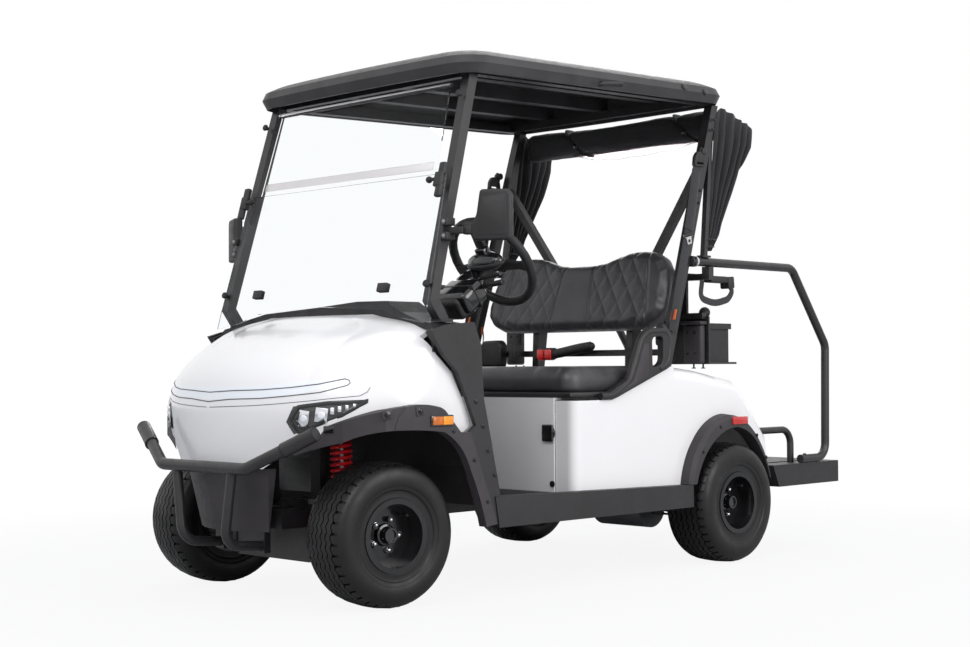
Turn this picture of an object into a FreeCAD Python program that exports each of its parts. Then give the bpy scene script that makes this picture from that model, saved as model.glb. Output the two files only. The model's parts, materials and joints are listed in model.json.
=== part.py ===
import FreeCAD, Part
import math
import os
import Sketcher
from FreeCAD import Placement, Rotation, Vector

# Two-seat golf cart with a canopy, fold-down windscreen and caddie platform.
# Millimetres. +Z is up, -Y is forward, +X is the cart's left-hand side.
# The origin is on the ground at the middle of the outline. Every sub-part is drawn
# from the nose datum, a line across the ground near the front axle, and its
# Placement moves it back to the origin.

DOC = FreeCAD.newDocument("GolfCart")
SHEET = DOC.addObject("Spreadsheet::Sheet", "Sizes")

# alias, value, meaning
SIZES = (
    ("kingpin_y", 11.0, "kingpins behind the nose datum"),
    ("wheelbase", 1645.6, "kingpins to rear axle"),
    ("tyre_radius", 228.6, "18 inch tyre"),
    ("tyre_width", 200.0, "tyre section width"),
    ("tyre_facets", 48, "flats round a tyre"),
    ("rim_radius", 104.0, "bead seat of the 8 inch rim"),
    ("rim_flange", 117.0, "rim flange radius"),
    ("rim_width", 182.0, "rim over its flanges"),
    ("rim_skin", 4.0, "rim sheet thickness"),
    ("disc_inset", 72.0, "wheel disc behind the outer flange"),
    ("lug_circle", 50.0, "lug nut circle radius"),
    ("lug_radius", 9.5, "lug nut radius"),
    ("wheel_offset", 122.0, "front wheel centre outboard of its kingpin"),
    ("kingpin_x", 325.0, "kingpins from the centreline"),
    ("rear_track", 1060.0, "rear wheel centres apart"),
    ("steer_rest", -6.0, "front wheels turned at rest, degrees"),
    ("axle_z", 228.6, "axle height"),
    ("disc_t", 5.0, "wheel disc thickness"),
    ("spindle_r", 15.0, "stub axle radius"),
    ("hub_reach", 60.0, "hub inboard of the wheel centre"),
    ("knuckle_r", 24.0, "knuckle barrel radius"),
    ("kingpin_r", 12.0, "kingpin radius"),
    ("arm_gap", 170.0, "between the upper and lower suspension arms"),
    ("steer_arm", 110.0, "steering arm length"),
    ("frame_side", 190.0, "side of the front cradle from the centreline"),
    ("coil_x", 252.0, "foot of the coil-over from the centreline"),
    ("coil_lean", 12.0, "coil-over leans inboard"),
    ("tower_z", 560.0, "top mount of the coil-over"),
    ("bulkhead_y", 205.0, "bulkhead behind the nose datum"),
    ("dash_z", 930.0, "dash top"),
    ("dash_t", 60.0, "dash depth"),
    ("pan_half", 555.0, "half width of the floor pan"),
    ("rocker_x", 604.0, "outer face of the rocker panel"),
    ("rocker_w", 44.0, "rocker panel width"),
    ("rocker_end_y", 1400.0, "rear end of the rocker panel"),
    ("rear_rail_h", 50.0, "height of the raised rear rails"),
    ("leaf_reach", 276.0, "axle to spring eye"),
    ("leaf_end_z", 253.2, "top of the spring ends"),
    ("rail_x", 165.0, "frame rail from the centreline"),
    ("rail_w", 50.0, "frame rail width"),
    ("rail_h", 60.0, "frame rail height"),
    ("floor_z", 300.0, "underside of the floor pan"),
    ("pan_t", 8.0, "floor pan thickness"),
    ("front_end_y", -190.0, "front end of the frame"),
    ("kick_y", 1400.0, "front end of the raised rear frame"),
    ("rear_end_y", 1972.0, "rear end of the frame"),
    ("toe_y", 345.0, "foot of the toe board"),
    ("seat_front_y", 780.0, "front panel of the seat base"),
    ("body_half", 560.0, "half width of the body sides"),
    ("skin", 5.0, "moulded body skin"),
    ("platform_front_y", 2003.0, "front edge of the caddie platform"),
    ("platform_rear_y", 2475.0, "rear edge of the caddie platform"),
    ("platform_half", 540.0, "half width of the caddie platform"),
    ("platform_z", 350.0, "top of the caddie platform"),
    ("platform_h", 88.0, "depth of the platform skirt"),
    ("guard_y", -358.0, "top bar of the bumper guard"),
    ("guard_z", 440.0, "height of the guard's top bar"),
    ("guard_half", 226.0, "half length of the guard's straight bar"),
    ("guard_r", 19.0, "guard tube radius"),
    ("seat_z", 642.0, "underside of the seat cushion"),
    ("seat_t", 112.0, "seat cushion thickness"),
    ("seat_half", 540.0, "half width of the seat cushion"),
    ("seat_depth", 470.0, "seat cushion front to back"),
    ("back_half", 490.0, "half width of the backrest"),
    ("back_t", 85.0, "backrest thickness"),
    ("back_lean", 17.0, "backrest lean, degrees"),
    ("roof_front_y", 262.0, "front edge of the canopy"),
    ("roof_length", 1428.0, "canopy length"),
    ("roof_half", 578.0, "half width of the canopy"),
    ("roof_z", 1712.0, "canopy rim underside at the front"),
    ("roof_pitch", 1.9, "canopy rises to the rear, degrees"),
    ("roof_rim", 58.0, "height of the canopy rim"),
    ("roof_crown", 34.0, "canopy crown above the rim"),
    ("roof_t", 6.0, "canopy skin"),
    ("post_side", 36.0, "square post tube"),
    ("front_post_x", 540.0, "front post foot from the centreline"),
    ("front_post_top_x", 508.0, "front post top from the centreline"),
    ("rear_post_x", 521.5, "rear post foot from the centreline"),
    ("rear_post_top_x", 513.0, "rear post top from the centreline"),
    ("pane_t", 5.0, "windscreen pane thickness"),
    ("pane_split_z", 1378.0, "split between the two panes"),
    ("pane_top_z", 1688.0, "top of the upper pane"),
    ("column_x", 270.0, "steering column from the centreline"),
    ("wheel_y", 682.0, "steering wheel centre behind the datum"),
    ("wheel_z", 1122.0, "steering wheel centre height"),
    ("column_rake", 36.5, "steering column from level, degrees"),
    ("steering_r", 172.0, "steering wheel rim radius"),
    ("grip_r", 14.0, "steering wheel grip radius"),
    ("fit", 0.3, "gap where separate pieces seat"),
    ("pin_fit", 0.05, "radial running clearance of a pin"),
)


class Dim:
    """A length that keeps its value and the sheet expression that gives it."""

    def __init__(self, value, text):
        self.value = float(value)
        self.text = text

    def __float__(self):
        return self.value

    def __add__(self, other):
        return combine(self, "+", other)

    def __radd__(self, other):
        return combine(other, "+", self)

    def __sub__(self, other):
        return combine(self, "-", other)

    def __rsub__(self, other):
        return combine(other, "-", self)

    def __mul__(self, other):
        return combine(self, "*", other)

    def __rmul__(self, other):
        return combine(other, "*", self)

    def __truediv__(self, other):
        return combine(self, "/", other)

    def __neg__(self):
        return combine(-1.0, "*", self)


def as_dim(number):
    if isinstance(number, Dim):
        return number
    return Dim(number, repr(float(number)))


def combine(left, sign, right):
    left = as_dim(left)
    right = as_dim(right)
    values = {
        "+": left.value + right.value,
        "-": left.value - right.value,
        "*": left.value * right.value,
        "/": left.value / right.value if right.value else 0.0,
    }
    return Dim(values[sign], "(%s %s %s)" % (left.text, sign, right.text))


def fill_sheet():
    for row, (alias, value, meaning) in enumerate(SIZES, start=1):
        SHEET.set("A%d" % row, meaning)
        SHEET.set("B%d" % row, repr(value))
        SHEET.setAlias("B%d" % row, alias)
    DOC.recompute()
    return {alias: Dim(float(SHEET.get(alias)), "Sizes." + alias) for alias, value, meaning in SIZES}


S = fill_sheet()
PARTS = []

# The outline runs from the guard's front to the platform's rear edge.
DATUM_Y = -(S["platform_rear_y"] + S["guard_y"] - S["guard_r"]) / 2.0
REAR_AXLE_Y = S["kingpin_y"] + S["wheelbase"]
SIDES = (("left", 1.0), ("right", -1.0))


def bind(thing, prop, size):
    """Give a property its value and its sheet expression."""
    size = as_dim(size)
    if not prop.startswith(("Placement", "AttachmentOffset", "Constraints")):
        setattr(thing, prop, size.value)
    if "Sizes." in size.text:
        thing.setExpression(prop, size.text)


def place(thing, x=0.0, y=0.0, z=0.0, axis=Vector(0, 0, 1), angle=0.0):
    """Put a sub-part at x, y, z from the nose datum, turned about axis."""
    x = as_dim(x)
    y = as_dim(y) + DATUM_Y
    z = as_dim(z)
    angle = as_dim(angle)
    thing.Placement = Placement(Vector(x.value, y.value, z.value), Rotation(axis, angle.value))
    bind(thing, "Placement.Base.x", x)
    bind(thing, "Placement.Base.y", y)
    bind(thing, "Placement.Base.z", z)
    if "Sizes." in angle.text:
        bind(thing, "Placement.Rotation.Angle", angle)


def keep(thing, label):
    thing.Label = label
    PARTS.append(thing)
    return thing


def body(label, **where):
    thing = DOC.addObject("PartDesign::Body", label)
    place(thing, **where)
    return keep(thing, label)


def feature(label, shape, **where):
    """A sub-part whose shape is worked out here from the sheet's sizes."""
    thing = DOC.addObject("Part::Feature", label)
    thing.Shape = shape
    place(thing, **where)
    return keep(thing, label)


def sketch(owner, role, offset=0.0):
    """A sketch on one of the body's own planes, moved along that plane's normal."""
    drawing = owner.newObject("Sketcher::SketchObject", owner.Label + "_sketch")
    planes = [item for item in owner.Origin.OriginFeatures if item.Role == role]
    drawing.AttachmentSupport = (planes[0], [""])
    drawing.MapMode = "FlatFace"
    offset = as_dim(offset)
    drawing.AttachmentOffset = Placement(Vector(0, 0, offset.value), Rotation())
    bind(drawing, "AttachmentOffset.Base.z", offset)
    return drawing


def pin_point(drawing, edge, end, u, v):
    """Fix one end of an edge at u, v from the sketch origin."""
    for kind, size in (("DistanceX", as_dim(u)), ("DistanceY", as_dim(v))):
        row = drawing.addConstraint(Sketcher.Constraint(kind, -1, 1, edge, end, size.value))
        if "Sizes." in size.text:
            drawing.setExpression("Constraints[%d]" % row, size.text)


def outline(drawing, points):
    """Closed outline. A point is (u, v) or (u, v, r): r is the radius of the arc
    that leaves the point, positive when the arc bulges to the right of travel."""
    count = len(points)
    for index, point in enumerate(points):
        after = points[(index + 1) % count]
        start = Vector(float(point[0]), float(point[1]), 0)
        stop = Vector(float(after[0]), float(after[1]), 0)
        if len(point) == 2:
            edge = drawing.addGeometry(Part.LineSegment(start, stop), False)
            pin_point(drawing, edge, 1, point[0], point[1])
            pin_point(drawing, edge, 2, after[0], after[1])
            continue
        radius = abs(float(point[2]))
        across = stop - start
        half = across.Length / 2.0
        left = Vector(-across.y, across.x, 0).normalize()
        reach = math.sqrt(max(radius * radius - half * half, 0.0))
        turns_left = float(point[2]) > 0
        centre = (start + stop) / 2.0 + left * (reach if turns_left else -reach)
        first, last = (start, stop) if turns_left else (stop, start)
        low = math.atan2(first.y - centre.y, first.x - centre.x)
        high = math.atan2(last.y - centre.y, last.x - centre.x)
        if high < low:
            high += 2.0 * math.pi
        circle = Part.Circle(centre, Vector(0, 0, 1), radius)
        edge = drawing.addGeometry(Part.ArcOfCircle(circle, low, high), False)
        ends = (1, 2) if turns_left else (2, 1)
        pin_point(drawing, edge, ends[0], point[0], point[1])
        pin_point(drawing, edge, ends[1], after[0], after[1])


def box_outline(drawing, u0, u1, v0, v1):
    outline(drawing, ((u0, v0), (u1, v0), (u1, v1), (u0, v1)))


def ring(drawing, u, v, radius):
    """A full circle at u, v."""
    edge = drawing.addGeometry(Part.Circle(Vector(float(u), float(v), 0), Vector(0, 0, 1), float(radius)), False)
    pin_point(drawing, edge, 3, u, v)
    row = drawing.addConstraint(Sketcher.Constraint("Radius", edge, float(radius)))
    radius = as_dim(radius)
    if "Sizes." in radius.text:
        drawing.setExpression("Constraints[%d]" % row, radius.text)


def pad(owner, drawing, length, both=False, reverse=False):
    solid = owner.newObject("PartDesign::Pad", owner.Label + "_pad")
    solid.Profile = drawing
    bind(solid, "Length", length)
    solid.Midplane = both
    solid.Reversed = reverse
    DOC.recompute()
    return solid


def pocket(owner, drawing, length=None, both=False, reverse=False):
    """Cut to a length, or right through when no length is given."""
    before = owner.Shape.Volume
    cut = owner.newObject("PartDesign::Pocket", owner.Label + "_pocket")
    cut.Profile = drawing
    cut.Midplane = both
    cut.Reversed = reverse
    if length is None:
        cut.Type = 1
    else:
        bind(cut, "Length", length)
    DOC.recompute()
    if owner.Shape.Volume >= before - 1e-6:
        raise RuntimeError(owner.Label + ": the pocket cuts nothing")
    return cut


def spin(owner, drawing, role):
    """Revolve about one of the body's own axes."""
    solid = owner.newObject("PartDesign::Revolution", owner.Label + "_revolution")
    solid.Profile = drawing
    axes = [item for item in owner.Origin.OriginFeatures if item.Role == role]
    solid.ReferenceAxis = (axes[0], [""])
    solid.Angle = 360.0
    DOC.recompute()
    return solid


def round_edges(owner, chosen, radius):
    """Fillet the edges of the body's present shape that chosen() picks."""
    tip = owner.Tip
    names = ["Edge%d" % (index + 1) for index, edge in enumerate(tip.Shape.Edges) if chosen(edge)]
    if not names:
        raise RuntimeError(owner.Label + ": no edge to round")
    blend = owner.newObject("PartDesign::Fillet", owner.Label + "_fillet")
    blend.Base = (tip, names)
    bind(blend, "Radius", radius)
    DOC.recompute()
    return blend


def along(axis):
    """Picks straight edges that run along an axis."""
    def chosen(edge):
        if len(edge.Vertexes) != 2 or edge.Curve.TypeId != "Part::GeomLine":
            return False
        run = edge.Vertexes[1].Point - edge.Vertexes[0].Point
        return run.cross(axis).Length < 1e-4 * run.Length
    return chosen


# Shapes worked out in code: tubes, lofted skins and folded plates.

def run_path(points, bend):
    """Straight runs through points, joined by tangent arcs of radius bend."""
    points = [Vector(*[float(n) for n in point]) for point in points]
    edges = []
    here = points[0]
    for before, corner, after in zip(points, points[1:], points[2:]):
        u = (before - corner).normalize()
        v = (after - corner).normalize()
        angle = u.getAngle(v)
        reach = float(bend) / math.tan(angle / 2.0)
        entry = corner + u * reach
        leave = corner + v * reach
        middle = (u + v).normalize()
        apex = corner + middle * (float(bend) / math.sin(angle / 2.0) - float(bend))
        edges.append(Part.LineSegment(here, entry).toShape())
        edges.append(Part.Arc(entry, apex, leave).toShape())
        here = leave
    edges.append(Part.LineSegment(here, points[-1]).toShape())
    return Part.Wire(edges)


def tube(points, radius, bend):
    """Solid round bar along a bent path."""
    path = run_path(points, bend)
    start = path.Edges[0].Vertexes[0].Point
    stop = path.Edges[0].Vertexes[1].Point
    section = Part.Wire([Part.Circle(start, stop - start, float(radius)).toShape()])
    return path.makePipeShell([section], True, False)


def square_bar(points, side):
    """Square tube with mitred corners; its flat faces stay parallel to the X axis where they can."""
    points = [Vector(*[float(n) for n in point]) for point in points]
    direction = (points[1] - points[0]).normalize()
    across = Vector(1, 0, 0)
    across = (across - direction * across.dot(direction)).normalize()
    upward = direction.cross(across)
    half = float(side) / 2.0
    corners = [points[0] + across * a * half + upward * b * half for a, b in ((1, 1), (-1, 1), (-1, -1), (1, -1))]
    section = Part.makePolygon(corners + corners[:1])
    path = Part.makePolygon(points)
    return path.makePipeShell([section], True, False, 1)


def slab(points, axis, low, high):
    """Flat outline, given by its two coordinates across an axis, pushed from low to high along it."""
    low = float(low)
    high = float(high)
    flat = []
    for u, v in points:
        u = float(u)
        v = float(v)
        flat.append({"x": Vector(low, u, v), "y": Vector(u, low, v), "z": Vector(u, v, low)}[axis])
    face = Part.Face(Part.makePolygon(flat + flat[:1]))
    push = {"x": Vector(1, 0, 0), "y": Vector(0, 1, 0), "z": Vector(0, 0, 1)}[axis]
    return face.extrude(push * (high - low))


def curve(points, place):
    """Arcs through each run of three points, or a line where they lie on one."""
    spots = [place(*point) for point in points]
    edges = []
    for i in range(0, len(spots) - 2, 2):
        start, mid, end = spots[i:i + 3]
        if abs((mid - start).cross(end - start).Length / (end - start).Length) < 0.5:
            edges.append(Part.LineSegment(start, end).toShape())
        else:
            edges.append(Part.Arc(start, mid, end).toShape())
    return edges


def arch_wire(outer, opening, x):
    """Outline of an arch band at one x: its outer curve, its opening and the two feet."""
    def place(y, z):
        return Vector(x, y, z)
    one, two = curve(outer, place), curve(opening, place)
    feet = [Part.LineSegment(place(*outer[-1]), place(*opening[0])).toShape(),
            Part.LineSegment(place(*opening[-1]), place(*outer[0])).toShape()]
    return Part.Wire(one + feet[:1] + two + feet[1:])


def block(x0, x1, y0, y1, z0, z1):
    x0, x1, y0, y1, z0, z1 = [float(n) for n in (x0, x1, y0, y1, z0, z1)]
    return Part.makeBox(x1 - x0, y1 - y0, z1 - z0, Vector(x0, y0, z0))


def mirror_x(shape):
    return shape.mirror(Vector(0, 0, 0), Vector(1, 0, 0))


def fuse(shapes):
    whole = shapes[0]
    if len(shapes) > 1:
        whole = whole.fuse(shapes[1:])
    return whole.removeSplitter()


def pair(label, left, **where):
    """A left-hand piece and its mirror image as one sub-part."""
    return feature(label, Part.makeCompound([left, mirror_x(left)]), **where)


def stack(sections, ruled=False):
    """Loft through wires into a solid."""
    return Part.makeLoft(sections, True, ruled)


def cosine(size, angle):
    return Dim(float(size) * math.cos(math.radians(float(angle))), "(%s * cos(%s))" % (as_dim(size).text, as_dim(angle).text))


def sine(size, angle):
    return Dim(float(size) * math.sin(math.radians(float(angle))), "(%s * sin(%s))" % (as_dim(size).text, as_dim(angle).text))


# ---------------------------------------------------------------- wheels

def make_tyre(label, **where):
    """Low-profile turf tyre of flat facets, outboard side towards its own +X."""
    bead = float(S["rim_width"] / 2.0 - S["rim_skin"] - S["fit"])
    half = float(S["tyre_width"]) / 2.0
    top = float(S["tyre_radius"])
    count = int(float(S["tyre_facets"]))
    flank = (  # across, radius
        (bead, float(S["rim_radius"])), (bead, float(S["rim_flange"]) + 1.0), (half - 1.0, top - 86.0), (half, top - 60.0),
        (half - 4.0, top - 38.0), (half - 14.0, top - 23.0), (half - 42.0, top - 4.0),
    )
    loop = list(flank) + [(0.0, top)] + [(-across, radius) for across, radius in reversed(flank)]
    # Each radius is met by the flats, and one flat lies on the ground.
    grow = 1.0 / math.cos(math.pi / count)
    rings = []
    for step in range(count):
        angle = math.radians((step + 0.5) * 360.0 / count)
        rings.append([Vector(across, radius * grow * math.sin(angle), -radius * grow * math.cos(angle)) for across, radius in loop])
    faces = []
    for ring_a, ring_b in zip(rings, rings[1:] + rings[:1]):
        for one, two in zip(range(len(loop)), [*range(1, len(loop)), 0]):
            faces.append(Part.Face(Part.makePolygon([ring_a[one], ring_a[two], ring_b[two], ring_b[one], ring_a[one]])))
    carcass = Part.Solid(Part.makeShell(faces))
    if carcass.Volume < 0:
        carcass.reverse()
    feature(label, carcass, **where)


def make_rim(label, hub_radius, **where):
    """Deep pressed-steel wheel with its hub, five lug nuts and a hub cap."""
    rim = body(label, **where)
    edge = S["rim_width"] / 2.0
    lip = edge - S["rim_skin"]
    seat = S["rim_radius"] - S["fit"]
    inside = seat - S["rim_skin"]
    face = edge - S["disc_inset"]
    back = face - S["disc_t"]
    bore = S["spindle_r"] + S["pin_fit"]
    drawing = sketch(rim, "XY_Plane")
    outline(drawing, (
        (face + 30.0, 0.0),
        (face + 30.0, 18.0),
        (face + 24.0, 25.0),
        (face, 27.0),
        (face, inside),
        (edge, inside),
        (edge, S["rim_flange"]),
        (lip, S["rim_flange"]),
        (lip, seat),
        (-lip, seat),
        (-lip, S["rim_flange"]),
        (-edge, S["rim_flange"]),
        (-edge, inside),
        (back, inside),
        (back, hub_radius),
        (-S["hub_reach"], hub_radius),
        (-S["hub_reach"], bore),
        (face + 10.0, bore),
        (face + 10.0, 0.0),
    ))
    spin(rim, drawing, "X_Axis")
    lugs = sketch(rim, "YZ_Plane", face - 1.0)
    ring(lugs, S["lug_circle"], 0.0, S["lug_radius"])
    nut = pad(rim, lugs, 18.0)
    pattern = rim.newObject("PartDesign::PolarPattern", label + "_lugs")
    pattern.Originals = [nut]
    axes = [item for item in rim.Origin.OriginFeatures if item.Role == "X_Axis"]
    pattern.Axis = (axes[0], [""])
    pattern.Angle = 360.0
    pattern.Occurrences = 5
    rim.Tip = pattern
    DOC.recompute()


for side, sign in SIDES:
    turn = S["steer_rest"] if sign > 0 else S["steer_rest"] + 180.0
    spot = {
        "x": sign * S["kingpin_x"] + sign * cosine(S["wheel_offset"], S["steer_rest"]),
        "y": S["kingpin_y"] + sign * sine(S["wheel_offset"], S["steer_rest"]),
        "z": S["axle_z"],
        "angle": turn,
    }
    make_tyre("tyre_front_" + side, **spot)
    make_rim("rim_front_" + side, 36.0, **spot)
    spot = {
        "x": sign * S["rear_track"] / 2.0,
        "y": REAR_AXLE_Y,
        "z": S["axle_z"],
        "angle": 0.0 if sign > 0 else 180.0,
    }
    make_tyre("tyre_rear_" + side, **spot)
    make_rim("rim_rear_" + side, 84.0, **spot)


# ------------------------------------------------- front axle and steering

def knuckle_shape():
    """Left-hand stub axle about its own kingpin, spindle towards +X."""
    tall = float(S["arm_gap"]) / 2.0 - float(S["fit"])
    spindle_end = float(S["wheel_offset"] + S["rim_width"] / 2.0 - S["disc_inset"]) + 6.0
    barrel = Part.makeCylinder(float(S["knuckle_r"]), 2.0 * tall, Vector(0, 0, -tall))
    flange = Part.makeCylinder(34.0, 30.0, Vector(14, 0, 0), Vector(1, 0, 0))
    spindle = Part.makeCylinder(float(S["spindle_r"]), spindle_end - 14.0, Vector(14, 0, 0), Vector(1, 0, 0))
    tip = float(S["steer_arm"])
    arm = slab(((-14, 0), (10, 0), (-4, tip), (-22, tip)), "z", -tall + 4.0, -tall + 16.0)
    boss = Part.makeCylinder(15.0, 12.0, Vector(-14, tip, -tall + 4.0))
    stud = Part.makeCylinder(6.0, 6.0, Vector(-14, tip, -tall + 16.0))
    solid = fuse([barrel, flange, spindle, arm, boss, stud])
    bore = Part.makeCylinder(float(S["kingpin_r"] + S["pin_fit"]), 2.0 * tall + 2.0, Vector(0, 0, -tall - 1.0))
    return solid.cut(bore)


def arm_shape():
    """Left-hand lower and upper suspension arms joined by the kingpin, about the kingpin."""
    gap = float(S["arm_gap"]) / 2.0
    inner = float(S["frame_side"] - S["kingpin_x"])
    pieces = [Part.makeCylinder(float(S["kingpin_r"]), 2.0 * gap + 36.0, Vector(0, 0, -gap - 18.0))]
    for level in (-gap - 16.0, gap):
        pieces.append(Part.makeCylinder(22.0, 16.0, Vector(0, 0, level)))
        for way in (1.0, -1.0):
            leg = ((inner, way * 72.0), (inner, way * 94.0), (6.0, way * 21.0), (-14.0, way * 10.0))
            pieces.append(slab(leg, "z", level, level + 16.0))
    tray = slab(((inner, -30.0), (inner + 110.0, -30.0), (inner + 110.0, 30.0), (inner, 30.0)), "z", -gap - 16.0, -gap)
    return fuse(pieces + [tray])


def spring_shape(length, radius, wire, turns):
    """Coil spring drawn as a stack of rounded turns round its damper, along +Z."""
    pitch = length / turns
    profile = [Vector(radius - wire * 1.5, 0, 0)]
    for turn in range(int(turns)):
        low = turn * pitch
        profile.append(Vector(radius - wire, 0, low))
        profile.append(Vector(radius, 0, low + pitch * 0.22))
        profile.append(Vector(radius, 0, low + pitch * 0.5))
        profile.append(Vector(radius - wire, 0, low + pitch * 0.72))
    profile.append(Vector(radius - wire, 0, length))
    profile.append(Vector(radius - wire * 1.5, 0, length))
    face = Part.Face(Part.makePolygon(profile + profile[:1]))
    return face.revolve(Vector(0, 0, 0), Vector(0, 0, 1), 360)


for side, sign in SIDES:
    turn = S["steer_rest"] if sign > 0 else S["steer_rest"]
    left = knuckle_shape()
    feature("knuckle_" + side, left if sign > 0 else mirror_x(left),
            x=sign * S["kingpin_x"], y=S["kingpin_y"], z=S["axle_z"], angle=turn)

left = arm_shape()
left.translate(Vector(float(S["kingpin_x"]), 0, 0))
pair("front_arms", left, y=S["kingpin_y"], z=S["axle_z"])

# Coil-over units stand on the lower arms and bolt to the towers.
low_z = S["axle_z"] - S["arm_gap"] / 2.0
coil_x = float(S["coil_x"])
lean = float(S["coil_lean"])
span = float(S["tower_z"] - low_z)
dampers = []
springs = []
for side, sign in SIDES:
    foot = Vector(sign * coil_x, 0, float(low_z))
    head = Vector(sign * (coil_x - lean), 0, float(S["tower_z"]))
    axis = head - foot
    run = axis.Length
    axis.normalize()
    seat = foot + axis * 70.0
    damper = fuse([
        Part.makeCylinder(15.0, run * 0.55, foot + axis * 14.0, axis),
        Part.makeCylinder(8.0, run - 24.6, foot + axis * 20.0, axis),
        Part.makeCylinder(38.0, 5.0, seat - axis * 5.0, axis),
        Part.makeCylinder(38.0, 6.0, foot + axis * (run - 26.0), axis),
        Part.makeCylinder(14.0, 44.0, foot + Vector(0, -22.0, 14.3), Vector(0, 1, 0)),
    ])
    dampers.append(damper)
    coil = spring_shape(run - 26.0 - 70.0 - 0.6, 37.0, 9.0, 8)
    coil.Placement = Placement(seat + axis * 0.3, Rotation(Vector(0, 0, 1), axis))
    springs.append(coil)
feature("front_dampers", Part.makeCompound(dampers), y=S["kingpin_y"])
feature("front_springs", Part.makeCompound(springs), y=S["kingpin_y"])

# The track rod runs over the studs on the two steering arms.
rod_y = S["kingpin_y"] + S["steer_arm"]
tip_swing = float(S["steer_arm"]) * math.sin(math.radians(float(S["steer_rest"])))
stud_z = float(S["axle_z"] - S["arm_gap"] / 2.0 + S["fit"]) + 22.0
rod_half = float(S["kingpin_x"]) - 14.0
rod = fuse([
    Part.makeCylinder(9.0, 2.0 * rod_half - 20.0, Vector(-rod_half + 10.0 - tip_swing, 0, 0), Vector(1, 0, 0)),
    Part.makeCylinder(17.0, 18.0, Vector(-rod_half - tip_swing, 0, -9.0)),
    Part.makeCylinder(17.0, 18.0, Vector(rod_half - tip_swing, 0, -9.0)),
])
feature("track_rod", rod, y=rod_y, z=stud_z + 9.5)


# ----------------------------------------------------------------- chassis

frame = body("chassis_frame")
rail_out = S["rail_x"] + S["rail_w"] / 2.0
rail_in = S["rail_x"] - S["rail_w"] / 2.0
ladder = sketch(frame, "XY_Plane", S["floor_z"] - S["rail_h"])
box_outline(ladder, -rail_out, rail_out, S["front_end_y"], S["kick_y"] + 40.0)
for start, stop in ((-140.0, -60.0), (105.0, 330.0), (380.0, 620.0), (670.0, 910.0), (960.0, 1160.0), (1210.0, 1390.0)):
    box_outline(ladder, -rail_in, rail_in, start, stop)
pad(frame, ladder, S["rail_h"])
ladder = sketch(frame, "XY_Plane", S["floor_z"])
box_outline(ladder, -rail_out, rail_out, S["kick_y"], S["rear_end_y"])
for start, stop in ((1450.0, 1525.0), (1570.0, 1790.0), (1830.0, S["rear_end_y"] - 40.0)):
    box_outline(ladder, -rail_in, rail_in, start, stop)
pad(frame, ladder, S["rear_rail_h"])
for way in (-1.0, 1.0):
    hanger = sketch(frame, "XY_Plane", S["floor_z"])
    box_outline(hanger, -385.0, 385.0, REAR_AXLE_Y + way * S["leaf_reach"] - 22.0, REAR_AXLE_Y + way * S["leaf_reach"] + 22.0)
    pad(frame, hanger, S["rear_rail_h"])
    for sign in (1.0, -1.0):
        ear = sketch(frame, "XY_Plane", S["floor_z"] + 1.0)
        box_outline(ear, sign * 345.0 - 25.0, sign * 345.0 + 25.0, REAR_AXLE_Y + way * S["leaf_reach"] - 14.0,
                    REAR_AXLE_Y + way * S["leaf_reach"] + 14.0)
        pad(frame, ear, S["floor_z"] + 1.0 - S["leaf_end_z"] - S["fit"], reverse=True)
cradle = sketch(frame, "XY_Plane", S["axle_z"] - S["arm_gap"] / 2.0 - 18.0)
box_outline(cradle, -S["frame_side"], S["frame_side"], S["kingpin_y"] - 92.0, S["kingpin_y"] + 92.0)
pad(frame, cradle, S["floor_z"] - S["axle_z"] + S["arm_gap"] / 2.0 + 18.0)
hollow = sketch(frame, "XY_Plane", S["axle_z"] - S["arm_gap"] / 2.0 - 18.0)
box_outline(hollow, -S["frame_side"] + 34.0, S["frame_side"] - 34.0, S["kingpin_y"] - 60.0, S["kingpin_y"] + 60.0)
pocket(frame, hollow, 90.0, reverse=True)
for sign in (1.0, -1.0):
    tower = sketch(frame, "XZ_Plane", -S["kingpin_y"])
    outer = sign * S["frame_side"]
    outline(tower, (
        (outer, S["floor_z"] - 10.0),
        (outer, S["tower_z"] - 4.0),
        (sign * (S["coil_x"] - S["coil_lean"] + 24.0), S["tower_z"] - 4.0),
        (sign * (S["coil_x"] - S["coil_lean"] + 24.0), S["tower_z"] + 16.0),
        (sign * (rail_in + 8.0), S["tower_z"] + 16.0),
        (sign * rail_in, S["floor_z"] - 10.0),
    ))
    pad(frame, tower, 90.0, both=True)

# Floor pan, toe board and bulkhead are one folded sheet.
pan = body("floor_pan")
sheet = sketch(pan, "YZ_Plane")
t = S["pan_t"]
bulk = S["bulkhead_y"]
outline(sheet, (
    (S["seat_front_y"] + 60.0, S["floor_z"]),
    (S["seat_front_y"] + 60.0, S["floor_z"] + t),
    (S["toe_y"] + 4.0, S["floor_z"] + t),
    (S["toe_y"] - 62.0, S["floor_z"] + 134.0),
    (bulk + 6.0, S["floor_z"] + 244.0),
    (bulk, S["dash_z"] - S["dash_t"]),
    (bulk - t, S["dash_z"] - S["dash_t"]),
    (bulk - t, S["floor_z"] + 238.0),
    (S["toe_y"] - 71.0, S["floor_z"] + 130.0),
    (S["toe_y"] - 1.0, S["floor_z"]),
))
pad(pan, sheet, 2.0 * S["pan_half"], both=True)

mat = body("floor_mat")
sheet = sketch(mat, "XY_Plane", S["floor_z"] + S["pan_t"])
box_outline(sheet, -S["pan_half"] + 22.0, S["pan_half"] - 22.0, S["toe_y"] + 12.0, S["seat_front_y"] - 6.0)
pad(mat, sheet, 6.0)

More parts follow.
